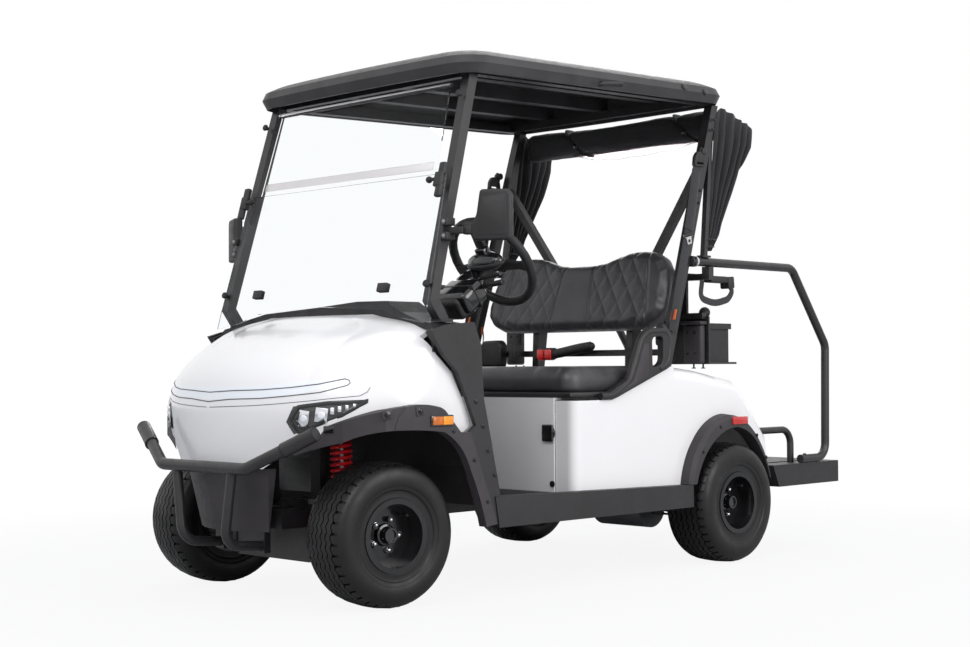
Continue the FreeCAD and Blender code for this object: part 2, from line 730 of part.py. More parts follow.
for side, sign in SIDES:
    rocker = body("rocker_" + side)
    far = S["rocker_x"]
    wall = sketch(rocker, "YZ_Plane", sign * far)
    outline(wall, (
        (S["toe_y"] + 30.0, S["floor_z"] - 70.0),
        (S["rocker_end_y"], S["floor_z"] - 72.0),
        (S["rocker_end_y"], S["floor_z"] + 10.0),
        (S["toe_y"] + 12.0, S["floor_z"] + 31.0),
    ))
    pad(rocker, wall, S["rocker_w"], reverse=sign > 0)
    core = sketch(rocker, "YZ_Plane", sign * (far - S["rocker_w"]))
    outline(core, (
        (S["toe_y"] + 36.0, S["floor_z"] - 66.0),
        (S["rocker_end_y"] - 4.0, S["floor_z"] - 68.0),
        (S["rocker_end_y"] - 4.0, S["floor_z"] + 6.0),
        (S["toe_y"] + 18.0, S["floor_z"] + 26.0),
    ))
    pocket(rocker, core, S["rocker_w"] - 4.0, reverse=sign > 0)


# ------------------------------------------------------------ front bodywork

def nose_plan(front, width, back, level, blunt, inset=0.0):
    """Plan outline of the nose at one height: straight sides, two corner arcs and a bowed front."""
    w = width - inset
    f = front + inset
    deep = min(0.80 * width, 0.93 * (back - f))
    side = f + deep
    edges = [Part.LineSegment(Vector(-w, back, level), Vector(w, back, level)).toShape()]
    corner = Vector(0.62 * w, f + blunt * deep, level)
    shoulder = Vector(0.915 * w, f + (0.34 + blunt) * deep, level)
    far_corner = Vector(-corner.x, corner.y, level)
    far_shoulder = Vector(-shoulder.x, shoulder.y, level)
    edges.append(Part.LineSegment(Vector(w, back, level), Vector(w, side, level)).toShape())
    edges.append(Part.Arc(Vector(w, side, level), shoulder, corner).toShape())
    edges.append(Part.Arc(corner, Vector(0, f, level), far_corner).toShape())
    edges.append(Part.Arc(far_corner, far_shoulder, Vector(-w, side, level)).toShape())
    edges.append(Part.LineSegment(Vector(-w, side, level), Vector(-w, back, level)).toShape())
    return Part.Wire(edges)


# Front, half width and height of the nose at each level, and how far back its corners lie.
NOSE_LEVELS = (
    (-322.0, 560.0, 436.0, 0.21),
    (-336.0, 574.0, 600.0, 0.21),
    (-322.0, 572.0, 700.0, 0.22),
    (-240.0, 566.0, 795.0, 0.28),
    (-112.0, 552.0, 862.0, 0.36),
    (-20.0, 450.0, 902.0, 0.36),
    (70.0, 330.0, 926.0, 0.30),
)


def nose_block(inset, back, low=0.0):
    wires = []
    for front, width, level, blunt in NOSE_LEVELS:
        drop = low if level < 450.0 else 0.0
        wires.append(nose_plan(front, width, back, level - inset * 0.8 - drop, blunt, inset))
    return stack(wires)


def arch_cutter():
    """The wheel arch behind the flares, pushed across the whole nose."""
    return slab(((-400, 300), (-400, 430), (-286, 437), (-258, 482), (-226, 502), (-191, 524), (-157, 549), (-116, 566),
                 (-52, 574), (41, 572), (134, 563), (186, 531), (256, 430), (330, 240), (330, 200)), "x", -700, 700)


back_y = float(S["bulkhead_y"]) - float(S["pan_t"]) - 12.0
nose_outer = nose_block(0.0, back_y)
nose_inner = nose_block(float(S["skin"]), back_y + 20.0, 20.0)
nose_shell = nose_outer.cut(nose_inner).cut(arch_cutter())

# The rear edge of the side panel follows the pillar trim.
TRIM_LINE = ((60, 905), (79, 868), (135, 790), (191, 739), (230, 662), (274, 565))
for sign in (1.0, -1.0):
    low, high = (530.0, 700.0) if sign > 0 else (-700.0, -530.0)
    nose_shell = nose_shell.cut(slab(TRIM_LINE + ((330, 520), (330, 905)), "x", low, high))

# Cheeks carry the side panels on past the bulkhead, to the pillar trim.
caps = [face for face in nose_shell.Faces if face.BoundBox.YLength < 0.01 and abs(face.BoundBox.YMin - back_y) < 0.01]
cheek_side = slab(((back_y - 1, 744), (191, 739), (230, 662), (274, 565), (249, 546), (256, 440), (186, 534), (back_y - 1, 532)),
                  "x", -700, 700)
cheeks = [face.extrude(Vector(0, 100, 0)).common(cheek_side) for face in caps]
nose_shell = nose_shell.fuse([cheek for cheek in cheeks if cheek.Volume > 100.0])
cheek_room = block(-575, 575, back_y - 0.3, 262, 400, 760)

# Light strip: a flush band round the nose, rising towards its two ends.
STRIP_HALF = ((0, 653, 691), (200, 658, 696), (287, 666, 703), (362, 677, 712), (424, 694, 721))
lower = [(-x, z) for x, z, top in STRIP_HALF[:0:-1]] + [(x, z) for x, z, top in STRIP_HALF]
upper = [(x, top) for x, z, top in STRIP_HALF[::-1]] + [(-x, top) for x, z, top in STRIP_HALF[1:]]
band = slab(lower + [(434, 708)] + upper + [(-434, 708)], "y", -420, 60)
strip = nose_shell.common(band)
nose_shell = nose_shell.cut(band)
feature("light_strip", strip)


# Headlamps: five-sided, along the nose corner, flush with the skin.
LAMP_OUTLINE = ((-6, 585), (18, 546), (155, 596), (252, 650), (123, 647), (18, 633))


def lamp_prism(sign, low, high):
    """The lamp outline pushed across the skin; columns are the distance along the corner and the height."""
    along_x = 0.786
    along_y = 0.619
    loop = []
    for run, level in LAMP_OUTLINE:
        loop.append(Vector(sign * (290 + along_x * run + along_y * low), -230 + along_y * run - along_x * low, level))
    face = Part.Face(Part.makePolygon(loop + loop[:1]))
    return face.extrude(Vector(sign * along_y, -along_x, 0) * (high - low))


pair("headlights", nose_outer.common(lamp_prism(1.0, -30.0, 60.0)))
for side, sign in SIDES:
    nose_shell = nose_shell.cut(lamp_prism(sign, -70.0, 60.0))
feature("front_cowl", nose_shell)

# Wheel-arch flares. Columns: distance behind the datum, outer height, then the same for the opening.
FLARE_OUTER = ((-294, 436), (-279, 452), (-232, 544), (-205, 566), (-158, 594), (-100, 616), (-20, 631), (40, 636),
               (100, 629), (120, 624), (136, 615), (171, 579), (205, 543), (226, 544), (246, 545), (306, 394), (366, 243))
FLARE_OPENING = ((315, 237), (284, 335), (245, 423), (179, 518), (130, 548), (41, 556), (-52, 558), (-116, 550), (-177, 521),
                 (-240, 481), (-286, 436))
FLARE_PLAN = ((604, 400), (604, -10), (579, -90), (474, -175), (324, -240), (188, -287), (130, -301),
              (118, -262), (176, -250), (308, -205), (452, -142), (548, -66), (570, 0), (570, 400))
ribbon = slab(FLARE_PLAN, "z", 200, 700)
band = Part.Face(arch_wire(FLARE_OUTER, FLARE_OPENING, 0)).extrude(Vector(700, 0, 0))
flare = ribbon.common(band).cut(nose_block(-0.3, back_y)).cut(cheek_room)
pair("front_flares", max(flare.Solids, key=lambda solid: solid.Volume))

# Lower front cover behind the guard: a bowed, tapering shell.
def cover_plan(width, front, level, inset=0.0):
    w = width - inset
    corner = front + 55.0 + inset
    return Part.Wire([
        Part.LineSegment(Vector(-w, -170, level), Vector(w, -170, level)).toShape(),
        Part.LineSegment(Vector(w, -170, level), Vector(w, corner, level)).toShape(),
        Part.Arc(Vector(w, corner, level), Vector(0, front + inset, level), Vector(-w, corner, level)).toShape(),
        Part.LineSegment(Vector(-w, corner, level), Vector(-w, -170, level)).toShape(),
    ])


top = 435.7
cover = stack([cover_plan(182.0, -288.0, 234.0), cover_plan(218.0, -319.0, top)], True)
inner = stack([cover_plan(182.0, -288.0, 229.0, 5.0), cover_plan(218.0, -319.0, top + 1.0, 5.0)], True)
feature("bumper_cover", cover.cut(inner).cut(block(-400, 400, -232, -100, 200, 500)))

# Tubular bumper guard.
arm_end = (468.0, -273.0, 553.0)
g = S["guard_half"]
bar = tube(((-arm_end[0], arm_end[1], arm_end[2]), (-g, S["guard_y"], S["guard_z"]), (g, S["guard_y"], S["guard_z"]),
            arm_end), S["guard_r"], 62.0)
pieces = [bar]
for sign in (1.0, -1.0):
    pieces.append(tube(((sign * 150.0, float(S["guard_y"]) + 6.0, float(S["guard_z"]) - 4.0),
                        (sign * 114.0, -356.0, 196.0), (sign * 110.0, -212.0, 184.0)), 16.0, 58.0))
    pieces.append(block(sign * 110.0 - 22.0, sign * 110.0 + 22.0, -214, float(S["front_end_y"]), 162, 290))
    run = Vector(sign * arm_end[0], arm_end[1], arm_end[2]) - Vector(sign * float(g), float(S["guard_y"]), float(S["guard_z"]))
    run.normalize()
    sleeve = Vector(sign * arm_end[0], arm_end[1], arm_end[2]) - run * 128.0
    pieces.append(Part.makeCylinder(float(S["guard_r"]) + 4.0, 126.0, sleeve, run))
feature("bumper_guard", fuse(pieces))

# Dash: black crowned moulding between the hood and the bulkhead.
DASH_TOP = ((-566, 880), (-545, 893), (-505, 899), (-400, 925), (-300, 942), (0, 957), (200, 970), (340, 968), (415, 930),
            (505, 899), (545, 893), (566, 880))
dash = slab(DASH_TOP + ((566, 800), (-566, 800)), "y", float(S["bulkhead_y"]) - 86.0, float(S["bulkhead_y"]) + 62.0)
room = slab(((-556, 795), (556, 795), (556, 870), (400, 895), (0, 930), (-400, 895), (-556, 870)), "y",
            float(S["bulkhead_y"]) - 110.0, float(S["bulkhead_y"]) + 56.0)
rake = math.radians(float(S["column_rake"]))
hub = Vector(float(S["column_x"]), float(S["wheel_y"]), float(S["wheel_z"]))
down = Vector(0, -math.cos(rake), -math.sin(rake))
dash = dash.cut(room).cut(nose_block(-0.3, back_y)).cut(Part.makeCylinder(22.0 + float(S["fit"]), 900.0, hub, down))
feature("dash", fuse([dash.Solids[0]]) if len(dash.Solids) == 1 else max(dash.Solids, key=lambda solid: solid.Volume))

# Side trim: pillar panel between the hood, the dash and the rocker.
plate = slab(((79, 868), (140, 885), (268, 896), (299, 822), (303, 742), (311, 645), (342, 515), (383, 337),
              (356.5, 332), (371, 252), (365.5, 252), (332.5, 333), (249, 546), (274, 565), (230, 662), (191, 739),
              (135, 790)), "x", 584.0, 600.0)
case = slab(((84, 862), (140, 879), (262, 890), (292, 822), (296, 742), (300, 680), (236, 676), (197, 742),
             (140, 796)), "x", 567.0, 584.0)
pair("side_trims", fuse([plate, case]))


# ------------------------------------------------------- windscreen and posts

POST_TOP = (340.0, 1700.0)
POST_KNEE = (134.0, 965.0)
POST_LEAN = math.degrees(math.atan2(POST_TOP[0] - POST_KNEE[0], POST_TOP[1] - POST_KNEE[1]))
pitch = math.tan(math.radians(float(S["roof_pitch"])))


def roof_under(y):
    """Height of the canopy rim's underside above a station."""
    return float(S["roof_z"]) + (y - float(S["roof_front_y"])) * pitch


above_rails = slab(((0, roof_under(0) - 0.4), (2000, roof_under(2000) - 0.4), (2000, 2000), (0, 2000)), "x", -700, 700)
posts = []
for sign in (1.0, -1.0):
    foot = sign * float(S["front_post_x"])
    head = sign * float(S["front_post_top_x"])
    slope = (POST_TOP[0] - POST_KNEE[0]) / (POST_TOP[1] - POST_KNEE[1])
    posts.append(square_bar(((foot, 181, 899), (foot, POST_KNEE[0], POST_KNEE[1]),
                             (head, POST_TOP[0] + 40.0 * slope, POST_TOP[1] + 40.0)), S["post_side"]))
    posts.append(block(foot - 24, foot + 24, 156, 208, 898, 906))
front_posts = fuse(posts).cut(above_rails).cut(block(-600, 600, -100, 400, 800, 898))
feature("front_posts", front_posts)


SCREEN_Z = 890.0
SCREEN_SLOPE = (POST_TOP[0] - POST_KNEE[0]) / (POST_TOP[1] - POST_KNEE[1])
SCREEN_Y = 93.8


def pane(label, points, y, z):
    """Flat pane in the plane of the posts; points are x and the distance up the pane."""
    screen = body(label, y=y, z=z, axis=Vector(1, 0, 0), angle=-POST_LEAN)
    drawing = sketch(screen, "XZ_Plane")
    outline(drawing, points)
    pad(screen, drawing, S["pane_t"])
    return screen


rise = 1.0 / math.cos(math.radians(POST_LEAN))
low_h = (S["pane_split_z"] - SCREEN_Z) * rise
pane("windscreen_lower", (
    (-552.0, 2.0), (-425.0, 22.0), (-330.0, 52.0), (0.0, 70.0), (330.0, 52.0), (425.0, 22.0), (552.0, 2.0),
    (552.0, 60.0), (516.0, low_h), (-516.0, low_h), (-552.0, 60.0),
), SCREEN_Y, SCREEN_Z)
high_h = (S["pane_top_z"] - S["pane_split_z"] - S["fit"]) * rise
pane("windscreen_upper", (
    (-468.0, 0.0), (468.0, 0.0), (449.0, high_h), (-449.0, high_h),
), SCREEN_Y + (S["pane_split_z"] + S["fit"] - SCREEN_Z) * SCREEN_SLOPE, S["pane_split_z"] + S["fit"])


# --------------------------------------------------------------------- canopy

def round_plan(half, front, rear, corner, bow, level):
    """Rounded rectangle with bowed ends."""
    c = corner * 0.293
    loop = [
        Part.LineSegment(Vector(half, front + corner, level), Vector(half, rear - corner, level)).toShape(),
        Part.Arc(Vector(half, rear - corner, level), Vector(half - c, rear - c, level),
                 Vector(half - corner, rear, level)).toShape(),
        Part.Arc(Vector(half - corner, rear, level), Vector(0, rear + bow, level),
                 Vector(corner - half, rear, level)).toShape(),
        Part.Arc(Vector(corner - half, rear, level), Vector(c - half, rear - c, level),
                 Vector(-half, rear - corner, level)).toShape(),
        Part.LineSegment(Vector(-half, rear - corner, level), Vector(-half, front + corner, level)).toShape(),
        Part.Arc(Vector(-half, front + corner, level), Vector(c - half, front + c, level),
                 Vector(corner - half, front, level)).toShape(),
        Part.Arc(Vector(corner - half, front, level), Vector(0, front - bow, level),
                 Vector(half - corner, front, level)).toShape(),
        Part.Arc(Vector(half - corner, front, level), Vector(half - c, front + c, level),
                 Vector(half, front + corner, level)).toShape(),
    ]
    return Part.Wire(loop)


half = float(S["roof_half"])
long = float(S["roof_length"])
rim = float(S["roof_rim"])
skin = float(S["roof_t"])
rim_loft = stack([round_plan(half - 12, 14, long - 14, 100, 14, 0), round_plan(half, 0, long, 106, 16, rim * 0.55),
                  round_plan(half - 10, 10, long - 10, 104, 16, rim)], True)
crown = stack([round_plan(half - 10, 10, long - 10, 104, 16, rim),
               round_plan(half - 70, 66, long - 66, 110, 14, rim + float(S["roof_crown"]) * 0.8),
               round_plan(half - 190, 190, long - 190, 100, 12, rim + float(S["roof_crown"]))])
under = stack([round_plan(half - 26, 28, long - 28, 60, 14, -1), round_plan(half - 26, 28, long - 28, 60, 14, rim - skin)], True)
dome = stack([round_plan(half - 26, 28, long - 28, 60, 14, rim - skin - 0.01),
              round_plan(half - 90, 86, long - 86, 96, 12, rim + float(S["roof_crown"]) * 0.8 - skin)], True)
canopy = rim_loft.fuse(crown)
roof_shell = canopy.cut(under).cut(dome)
RIB_LEVEL = rim - 26.0
ribs = [block(x - 22, x + 22, 80, long - 80, RIB_LEVEL, rim + 80).common(canopy) for x in (-300, 0, 300)]
feature("roof", fuse([roof_shell] + ribs), y=S["roof_front_y"], z=S["roof_z"], axis=Vector(1, 0, 0), angle=S["roof_pitch"])

# Rails under the canopy carry it on the posts, and cross bars between them carry its ribs.
rails = []
head = float(S["front_post_top_x"])
gap = float(S["fit"])
rail_half = float(S["post_side"]) / 2.0
for x in (head, -head):
    rails.append(slab(((322, roof_under(322)), (1648, roof_under(1648)), (1648, roof_under(1648) + 28.0),
                       (322, roof_under(322) + 28.0)), "x", x - rail_half, x + rail_half))
bar_end = head - rail_half - gap
for y in (352.0, 1566.0):
    rails.append(slab(((y, roof_under(y)), (y + 30, roof_under(y + 30)), (y + 30, roof_under(y + 30) + RIB_LEVEL - gap),
                       (y, roof_under(y) + RIB_LEVEL - gap)), "x", -bar_end, bar_end))
feature("roof_frame", Part.makeCompound(rails))

# Rear posts lean back from a cross beam inside the body, on two legs from the rails, up to the canopy.
beam_z = 602.0
post_foot = float(S["rear_post_x"])
post_head = float(S["rear_post_top_x"])
post_top = 1780.0


beam_y = 1286.0
post_lean = (1655.0 - beam_y) / (post_top - beam_z + 16.0)
rail_out = 535.0


def post_path(sign):
    return ((sign * post_foot, beam_y, beam_z - 16.0), (sign * post_head, 1655, post_top))


def post_y(z):
    """Middle of the rear post at a height."""
    return beam_y + (z - beam_z + 16.0) * post_lean


rear = [block(-554.6, 554.6, beam_y - 18, beam_y + 18, beam_z - 32.0, beam_z)]
post_room = []
for sign in (1.0, -1.0):
    around = square_bar(post_path(sign), S["post_side"] + 2.0 * S["fit"])
    post_room.append(around)
    post = square_bar(post_path(sign), S["post_side"]).cut(above_rails).cut(block(-700, 700, 1200, 1400, 500, beam_z + gap))
    brace = square_bar(((sign * 520, 1572, 1519), (sign * 222, 1594, 1102)), 30.0)
    brace = brace.cut(around).cut(block(-700, 700, 1400, 1700, 1000, 1112 + gap))
    strut = square_bar(((sign * rail_out, 1563, 1160), (sign * post_head, 1647, 1773)), 20.0)
    strut = strut.cut(around).cut(block(-700, 700, 1400, 1700, 1000, 1172))
    shoe = block(sign * rail_out - 16, sign * rail_out + 16, 1540, 1588, 1164 + gap, 1172)
    strut = min((solid for solid in strut.Solids if solid.Volume > 5000.0), key=lambda solid: solid.BoundBox.ZMin)
    leg = sign * float(S["rail_x"])
    rear += [post, max(brace.Solids, key=lambda solid: solid.Volume), fuse([strut, shoe]),
             block(leg - 18, leg + 18, beam_y - 16, beam_y + 16, float(S["floor_z"]) + gap, beam_z - 32.0 - gap)]
bar_y = post_y(802.0)
bar_half = post_foot + (post_head - post_foot) * (814.0 - beam_z + 16.0) / (post_top - beam_z + 16.0) - 0.5 * S["post_side"] - gap
rear.append(block(-bar_half, bar_half, bar_y - 13.0, bar_y + 13.0, 790, 814))
feature("rear_posts", Part.makeCompound(rear))


# ------------------------------------------------------------ steering column

run = (float(S["wheel_y"]) - float(S["bulkhead_y"])) / math.cos(rake)
column = [Part.makeCylinder(22.0, run - 30.0, hub + down * 30.0, down)]
column.append(Part.makeCylinder(34.0, 130.0, hub + down * 36.0, down))
pod = Part.makeBox(150, 84, 120, Vector(-75, -50, 175))
pod = pod.makeFillet(20.0, pod.Edges)
pod.Placement = Placement(hub, Rotation(Vector(0, 0, 1), down))
stalk = Part.makeCylinder(6.0, 120.0, hub + down * 110.0 + Vector(20, 0, 0), Vector(1, -0.1, 0.12))
column = fuse(column + [pod, stalk])
column = column.cut(Part.makeCylinder(float(S["pin_fit"]) + 10.0, 90.0, hub + down * 20.0, down))
bulk = float(S["bulkhead_y"] + S["fit"])
column = column.cut(slab(((-200, 500), (bulk + 6.0, 540), (bulk + 6.0, float(S["floor_z"]) + 244.0), (bulk, float(S["dash_z"] - S["dash_t"])),
                          (bulk, 950), (-200, 950)), "x", 100, 500))
feature("steering_column", column)

grip = Part.makeTorus(float(S["steering_r"]), float(S["grip_r"]))
spokes = [grip, Part.makeCylinder(40.0, 26.0, Vector(0, 0, -24)), Part.makeCylinder(10.0, 80.0, Vector(0, 0, -95))]
for angle in (90.0, 205.0, 335.0):
    spoke = Part.makeBox(float(S["steering_r"]) - 24.0, 34, 12, Vector(24, -17, -14))
    spoke.Placement = Placement(Vector(), Rotation(Vector(0, 0, 1), angle - 180.0 if angle == 90.0 else angle))
    spokes.append(spoke)
feature("steering_wheel", fuse(spokes), x=S["column_x"], y=S["wheel_y"], z=S["wheel_z"],
        axis=Vector(1, 0, 0), angle=S["column_rake"] - 90.0)

# Door mirrors stand off the front posts.
head = Part.makeBox(150, 34, 166, Vector(-75, -17, -83))
head = head.makeFillet(14.0, head.Edges)
head.Placement = Placement(Vector(678, 268, 1234), Rotation(Vector(0, 0, 1), 24.0))
arm = tube(((556.5, 190, 1196), (600, 205, 1196), (645, 254, 1212)), 9.0, 14.0)
clamp = block(550.1, 572, 172, 212, 1172, 1222)
pair("mirrors", fuse([head, arm, clamp]))


# --------------------------------------------------------- seat base and body

half = float(S["body_half"])
skin = float(S["skin"])


def tub(inset, low, round_r):
    """Rear body as a solid: square shoulders by the seat, round ones behind it."""
    wide = half - inset
    ahead = slab(((790 + inset, low), (790 + inset, 632 - inset), (990, 632 - inset), (1331, 751 - inset),
                  (1340, 750 - inset), (1340, low)), "x", -wide, wide)
    sections = []
    for y, top in ((1340, 750 - inset), (1501, 733 - inset), (1721, 697 - inset), (1787 - inset, 638 - inset),
                   (1918 - inset, 495 - inset), (1936 - inset, 330)):
        curve = min(round_r, (top - low) * 0.6)
        diagonal = curve * (1.0 - math.sqrt(0.5))
        sections.append(Part.Wire([
            Part.LineSegment(Vector(wide, y, low), Vector(wide, y, top - curve)).toShape(),
            Part.Arc(Vector(wide, y, top - curve), Vector(wide - diagonal, y, top - diagonal),
                     Vector(wide - curve, y, top)).toShape(),
            Part.LineSegment(Vector(wide - curve, y, top), Vector(curve - wide, y, top)).toShape(),
            Part.Arc(Vector(curve - wide, y, top), Vector(diagonal - wide, y, top - diagonal),
                     Vector(-wide, y, top - curve)).toShape(),
            Part.LineSegment(Vector(-wide, y, top - curve), Vector(-wide, y, low)).toShape(),
            Part.LineSegment(Vector(-wide, y, low), Vector(wide, y, low)).toShape(),
        ]))
    behind = stack(sections, True)
    return ahead.fuse(behind)


rear_shell = tub(0.0, 309.0, 46.0).cut(tub(skin, 300.0, 41.0))
REAR_OUTER = ((1376, 312), (1404, 404), (1455, 478), (1535, 541), (1625, 567), (1729, 545), (1813, 480), (1866, 402),
              (1898, 312))
REAR_OPENING = ((1877, 312), (1853, 371), (1819, 422), (1747, 490), (1670, 516), (1587, 503), (1511, 461), (1448, 393), (1411, 312))
corners = [Vector(-700, 1898, 312), Vector(-700, 1898, 290), Vector(-700, 1376, 290), Vector(-700, 1376, 312)]
arch = Part.Face(Part.Wire(curve(REAR_OUTER, lambda y, z: Vector(-700, y, z))
                           + [Part.LineSegment(one, two).toShape() for one, two in zip(corners, corners[1:])]))
arch = arch.extrude(Vector(1400, 0, 0))
rear_shell = rear_shell.cut(arch)
bay = block(-545, 545, 800, 1330, 560, 800)
front_gap = block(-470, 470, 700, 812, 290, 640)
rear_shell = rear_shell.cut(bay).cut(front_gap)
for room in post_room:
    rear_shell = rear_shell.cut(room)
hanger = float(REAR_AXLE_Y + S["leaf_reach"])
rear_shell = rear_shell.cut(block(-385.3, 385.3, hanger - 40.0, hanger + 60.0, 290, float(S["floor_z"] + S["rear_rail_h"] + S["fit"])))
feature("rear_body", rear_shell)
panel = block(-469.7, 469.7, 782, 788, 308.3, 641.7)
flange = block(-469.7, 469.7, 788, 820, 634, 641.7)
feature("seat_front_panel", fuse([panel, flange]))


def towards_hub(points, shift):
    """Outline points drawn in towards the wheel."""
    moved = []
    for y, z in points:
        run = Vector(y - float(REAR_AXLE_Y), z - float(S["axle_z"]), 0)
        run = run * (1.0 - shift / run.Length)
        moved.append((float(REAR_AXLE_Y) + run.x, max(z - shift, float(S["axle_z"]) + run.y, 312.0)))
    return moved


pair("rear_flares", stack([arch_wire(towards_hub(REAR_OUTER, shift), REAR_OPENING, x)
                           for x, shift in ((556.0, 0.0), (596.0, 4.0), (612.0, 18.0))], True))

cushion = body("seat_cushion", y=792.0, z=S["seat_z"])
sheet = sketch(cushion, "XY_Plane")
box_outline(sheet, -S["seat_half"], S["seat_half"], 0.0, S["seat_depth"])
pad(cushion, sheet, S["seat_t"])
round_edges(cushion, along(Vector(0, 0, 1)), 60.0)
round_edges(cushion, lambda edge: edge.CenterOfMass.z > float(S["seat_t"]) - 0.5, 34.0)

backrest = body("seat_back", y=1448.0, z=866.0, axis=Vector(1, 0, 0), angle=-S["back_lean"])
b = S["back_half"]
outline(sketch(backrest, "XZ_Plane"), (
    (90.0 - b, 0.0), (b - 90.0, 0.0, 92.0), (b, 100.0), (b - 10.0, 220.0, 130.0), (b - 120.0, 330.0, 400.0),
    (120.0, 322.0, -500.0), (-120.0, 322.0, 400.0), (120.0 - b, 330.0, 130.0), (10.0 - b, 220.0), (-b, 100.0, 92.0),
))
pad(backrest, DOC.getObject(backrest.Group[0].Name), S["back_t"])

supports = []
for sign in (1.0, -1.0):
    post = slab(((1452, 741.0), (1492, 737.0), (1536, 1050), (1504.7, 1050), (1459, 900)), "x",
                sign * 250 - 15, sign * 250 + 15)
    foot = slab(((1436, 740.1), (1499, 733.5), (1499, 739.5), (1436, 746.1)), "x", sign * 250 - 28, sign * 250 + 28)
    supports.append(fuse([post, foot]))
feature("seat_supports", Part.makeCompound(supports))

ARMREST = ((914, 632.5), (989, 632.5), (1313, 745.5), (1332, 829), (1304, 895), (1188, 890), (1147, 864), (1078, 709))
ARM_HOLE = ((1204, 857), (1268, 861), (1267, 762), (1206, 742))
arm_x = float(S["seat_half"]) + 2.0
pair("armrests", slab(ARMREST, "x", arm_x, arm_x + 30.0).cut(slab(ARM_HOLE, "x", arm_x - 12.0, arm_x + 38.0)))

battery = DOC.addObject("Part::Box", "battery")
bind(battery, "Length", 640.0)
bind(battery, "Width", 400.0)
bind(battery, "Height", 250.0)
place(battery, x=-320.0, y=860.0, z=S["floor_z"] + S["fit"])
keep(battery, "battery")


# -------------------------------------------------------------- rear fittings

rack_y = 1573.1
hoop_r = 17.0
hoop_z = 1147.0
rack = [block(-430, 430, 1590, 1602, 905, 1112), block(-517, 517, rack_y, 1602, 930, 954)]
rack.append(block(-rail_out - 17, rail_out + 17, rack_y, 1602, 1080, 1104))
for sign in (1.0, -1.0):
    rack.append(block(sign * rail_out - 17, sign * rail_out + 17, rack_y, 1602, 1080, hoop_z - hoop_r - float(S["fit"])))
rack.append(block(352, 532, 1602, 1772, 757, 765))
rack.append(block(352, 532, 1594, 1602, 757, 940))
for sign in (1.0, -1.0):
    rack.append(block(sign * 300 - 110, sign * 300 + 110, 1602, 1640, 1085, 1112))
    rack.append(block(sign * 300 - 110, sign * 300 - 84, 1640, 1780, 1088, 1112))
    rack.append(block(sign * 300 + 84, sign * 300 + 110, 1640, 1780, 1088, 1112))
feature("bag_rack", fuse(rack))
box = body("washer_box", x=445.0, y=1684.0, z=765.0)
sheet = sketch(box, "XY_Plane")
box_outline(sheet, -62.0, 62.0, -70.0, 70.0)
pad(box, sheet, 128.0)
sheet = sketch(box, "XY_Plane", 128.0)
box_outline(sheet, -70.0, 70.0, -78.0, 78.0)
pad(box, sheet, 22.0)
sheet = sketch(box, "XY_Plane", 150.0)
ring(sheet, 0.0, 0.0, 8.0)
pad(box, sheet, 30.0)
knob = sketch(box, "XZ_Plane")
outline(knob, ((0.0, 172.0), (0.0, 216.0, -22.0)))
spin(box, knob, "Z_Axis")

platform = body("rear_platform")
sheet = sketch(platform, "YZ_Plane")
outline(sheet, (
    (S["platform_front_y"], S["platform_z"] - 3.0),
    (S["platform_front_y"] + 40.0, S["platform_z"] - S["platform_h"]),
    (S["platform_rear_y"], S["platform_z"] - S["platform_h"]),
    (S["platform_rear_y"], S["platform_z"]),
    (S["platform_front_y"], S["platform_z"]),
))
pad(platform, sheet, 2.0 * S["platform_half"], both=True)
under = sketch(platform, "XY_Plane", S["platform_z"] - 12.0)
box_outline(under, 12.0 - S["platform_half"], S["platform_half"] - 12.0, S["platform_front_y"] + 50.0,
            S["platform_rear_y"] - 12.0)
pocket(platform, under, 120.0)
for sign in (1.0, -1.0):
    notch = sketch(platform, "YZ_Plane", sign * S["rail_x"])
    box_outline(notch, S["platform_front_y"] - 10.0, S["platform_front_y"] + 60.0, S["platform_z"] - 100.0,
                S["platform_z"] - 11.7)
    pocket(platform, notch, 40.0 + 2.0 * S["fit"], both=True)
tread = sketch(platform, "XY_Plane", S["platform_z"] - 1.0)
box_outline(tread, -440.0, 440.0, S["platform_front_y"] + 24.0, S["platform_rear_y"] - 24.0)
pad(platform, tread, 4.0)
beams = []
for sign in (1.0, -1.0):
    beams.append(block(sign * 165 - 20, sign * 165 + 20, S["rear_end_y"], S["platform_rear_y"] - 12.3,
                       float(S["platform_z"]) - 50.0, float(S["platform_z"]) - 12.0))

hoops = []
for sign in (1.0, -1.0):
    x = sign * rail_out
    low = float(S["platform_z"]) + hoop_r + 0.6
    hoop = tube(((x, post_y(hoop_z), hoop_z), (x, 2150, hoop_z), (x, 2392, 835), (x, 2384, low), (x, 2200, low)), hoop_r, 60.0)
    face = [post_y(z) + 0.5 * S["post_side"] / math.cos(math.atan(post_lean)) + 0.4 for z in (1100.0, 1200.0)]
    hoop = hoop.cut(slab(((face[0] - 90, 1100), (face[0], 1100), (face[1], 1200), (face[1] - 90, 1200)), "x", -700, 700))
    hoops.append(max(hoop.Solids, key=lambda solid: solid.Volume))
feature("rear_hoops", Part.makeCompound(hoops))
for sign in (1.0, -1.0):
    x = sign * 470.0
    beams.append(tube(((x, 1931, 486), (x, 2225, 486), (x, 2225, float(S["platform_z"]) + 0.3)), 14.0, 60.0))
feature("platform_supports", Part.makeCompound(beams))

roll = block(-501.7, 501.7, 1664, 1752, 1640, 1748)
roll = roll.makeFillet(30.0, [edge for edge in roll.Edges if abs(edge.Vertexes[0].Point.x - edge.Vertexes[-1].Point.x) > 10])
feature("bag_cover_roll", roll)
DRAPE = ((1663.3, 1744), (1690, 1757), (1888, 1700), (1873, 1620), (1752, 1400), (1616, 1190), (1577.6, 1190), (1645.4, 1684))
pair("bag_cover_sides", slab(DRAPE, "x", 502.0, 556.0))


# ------------------------------------------------------------------ drivetrain

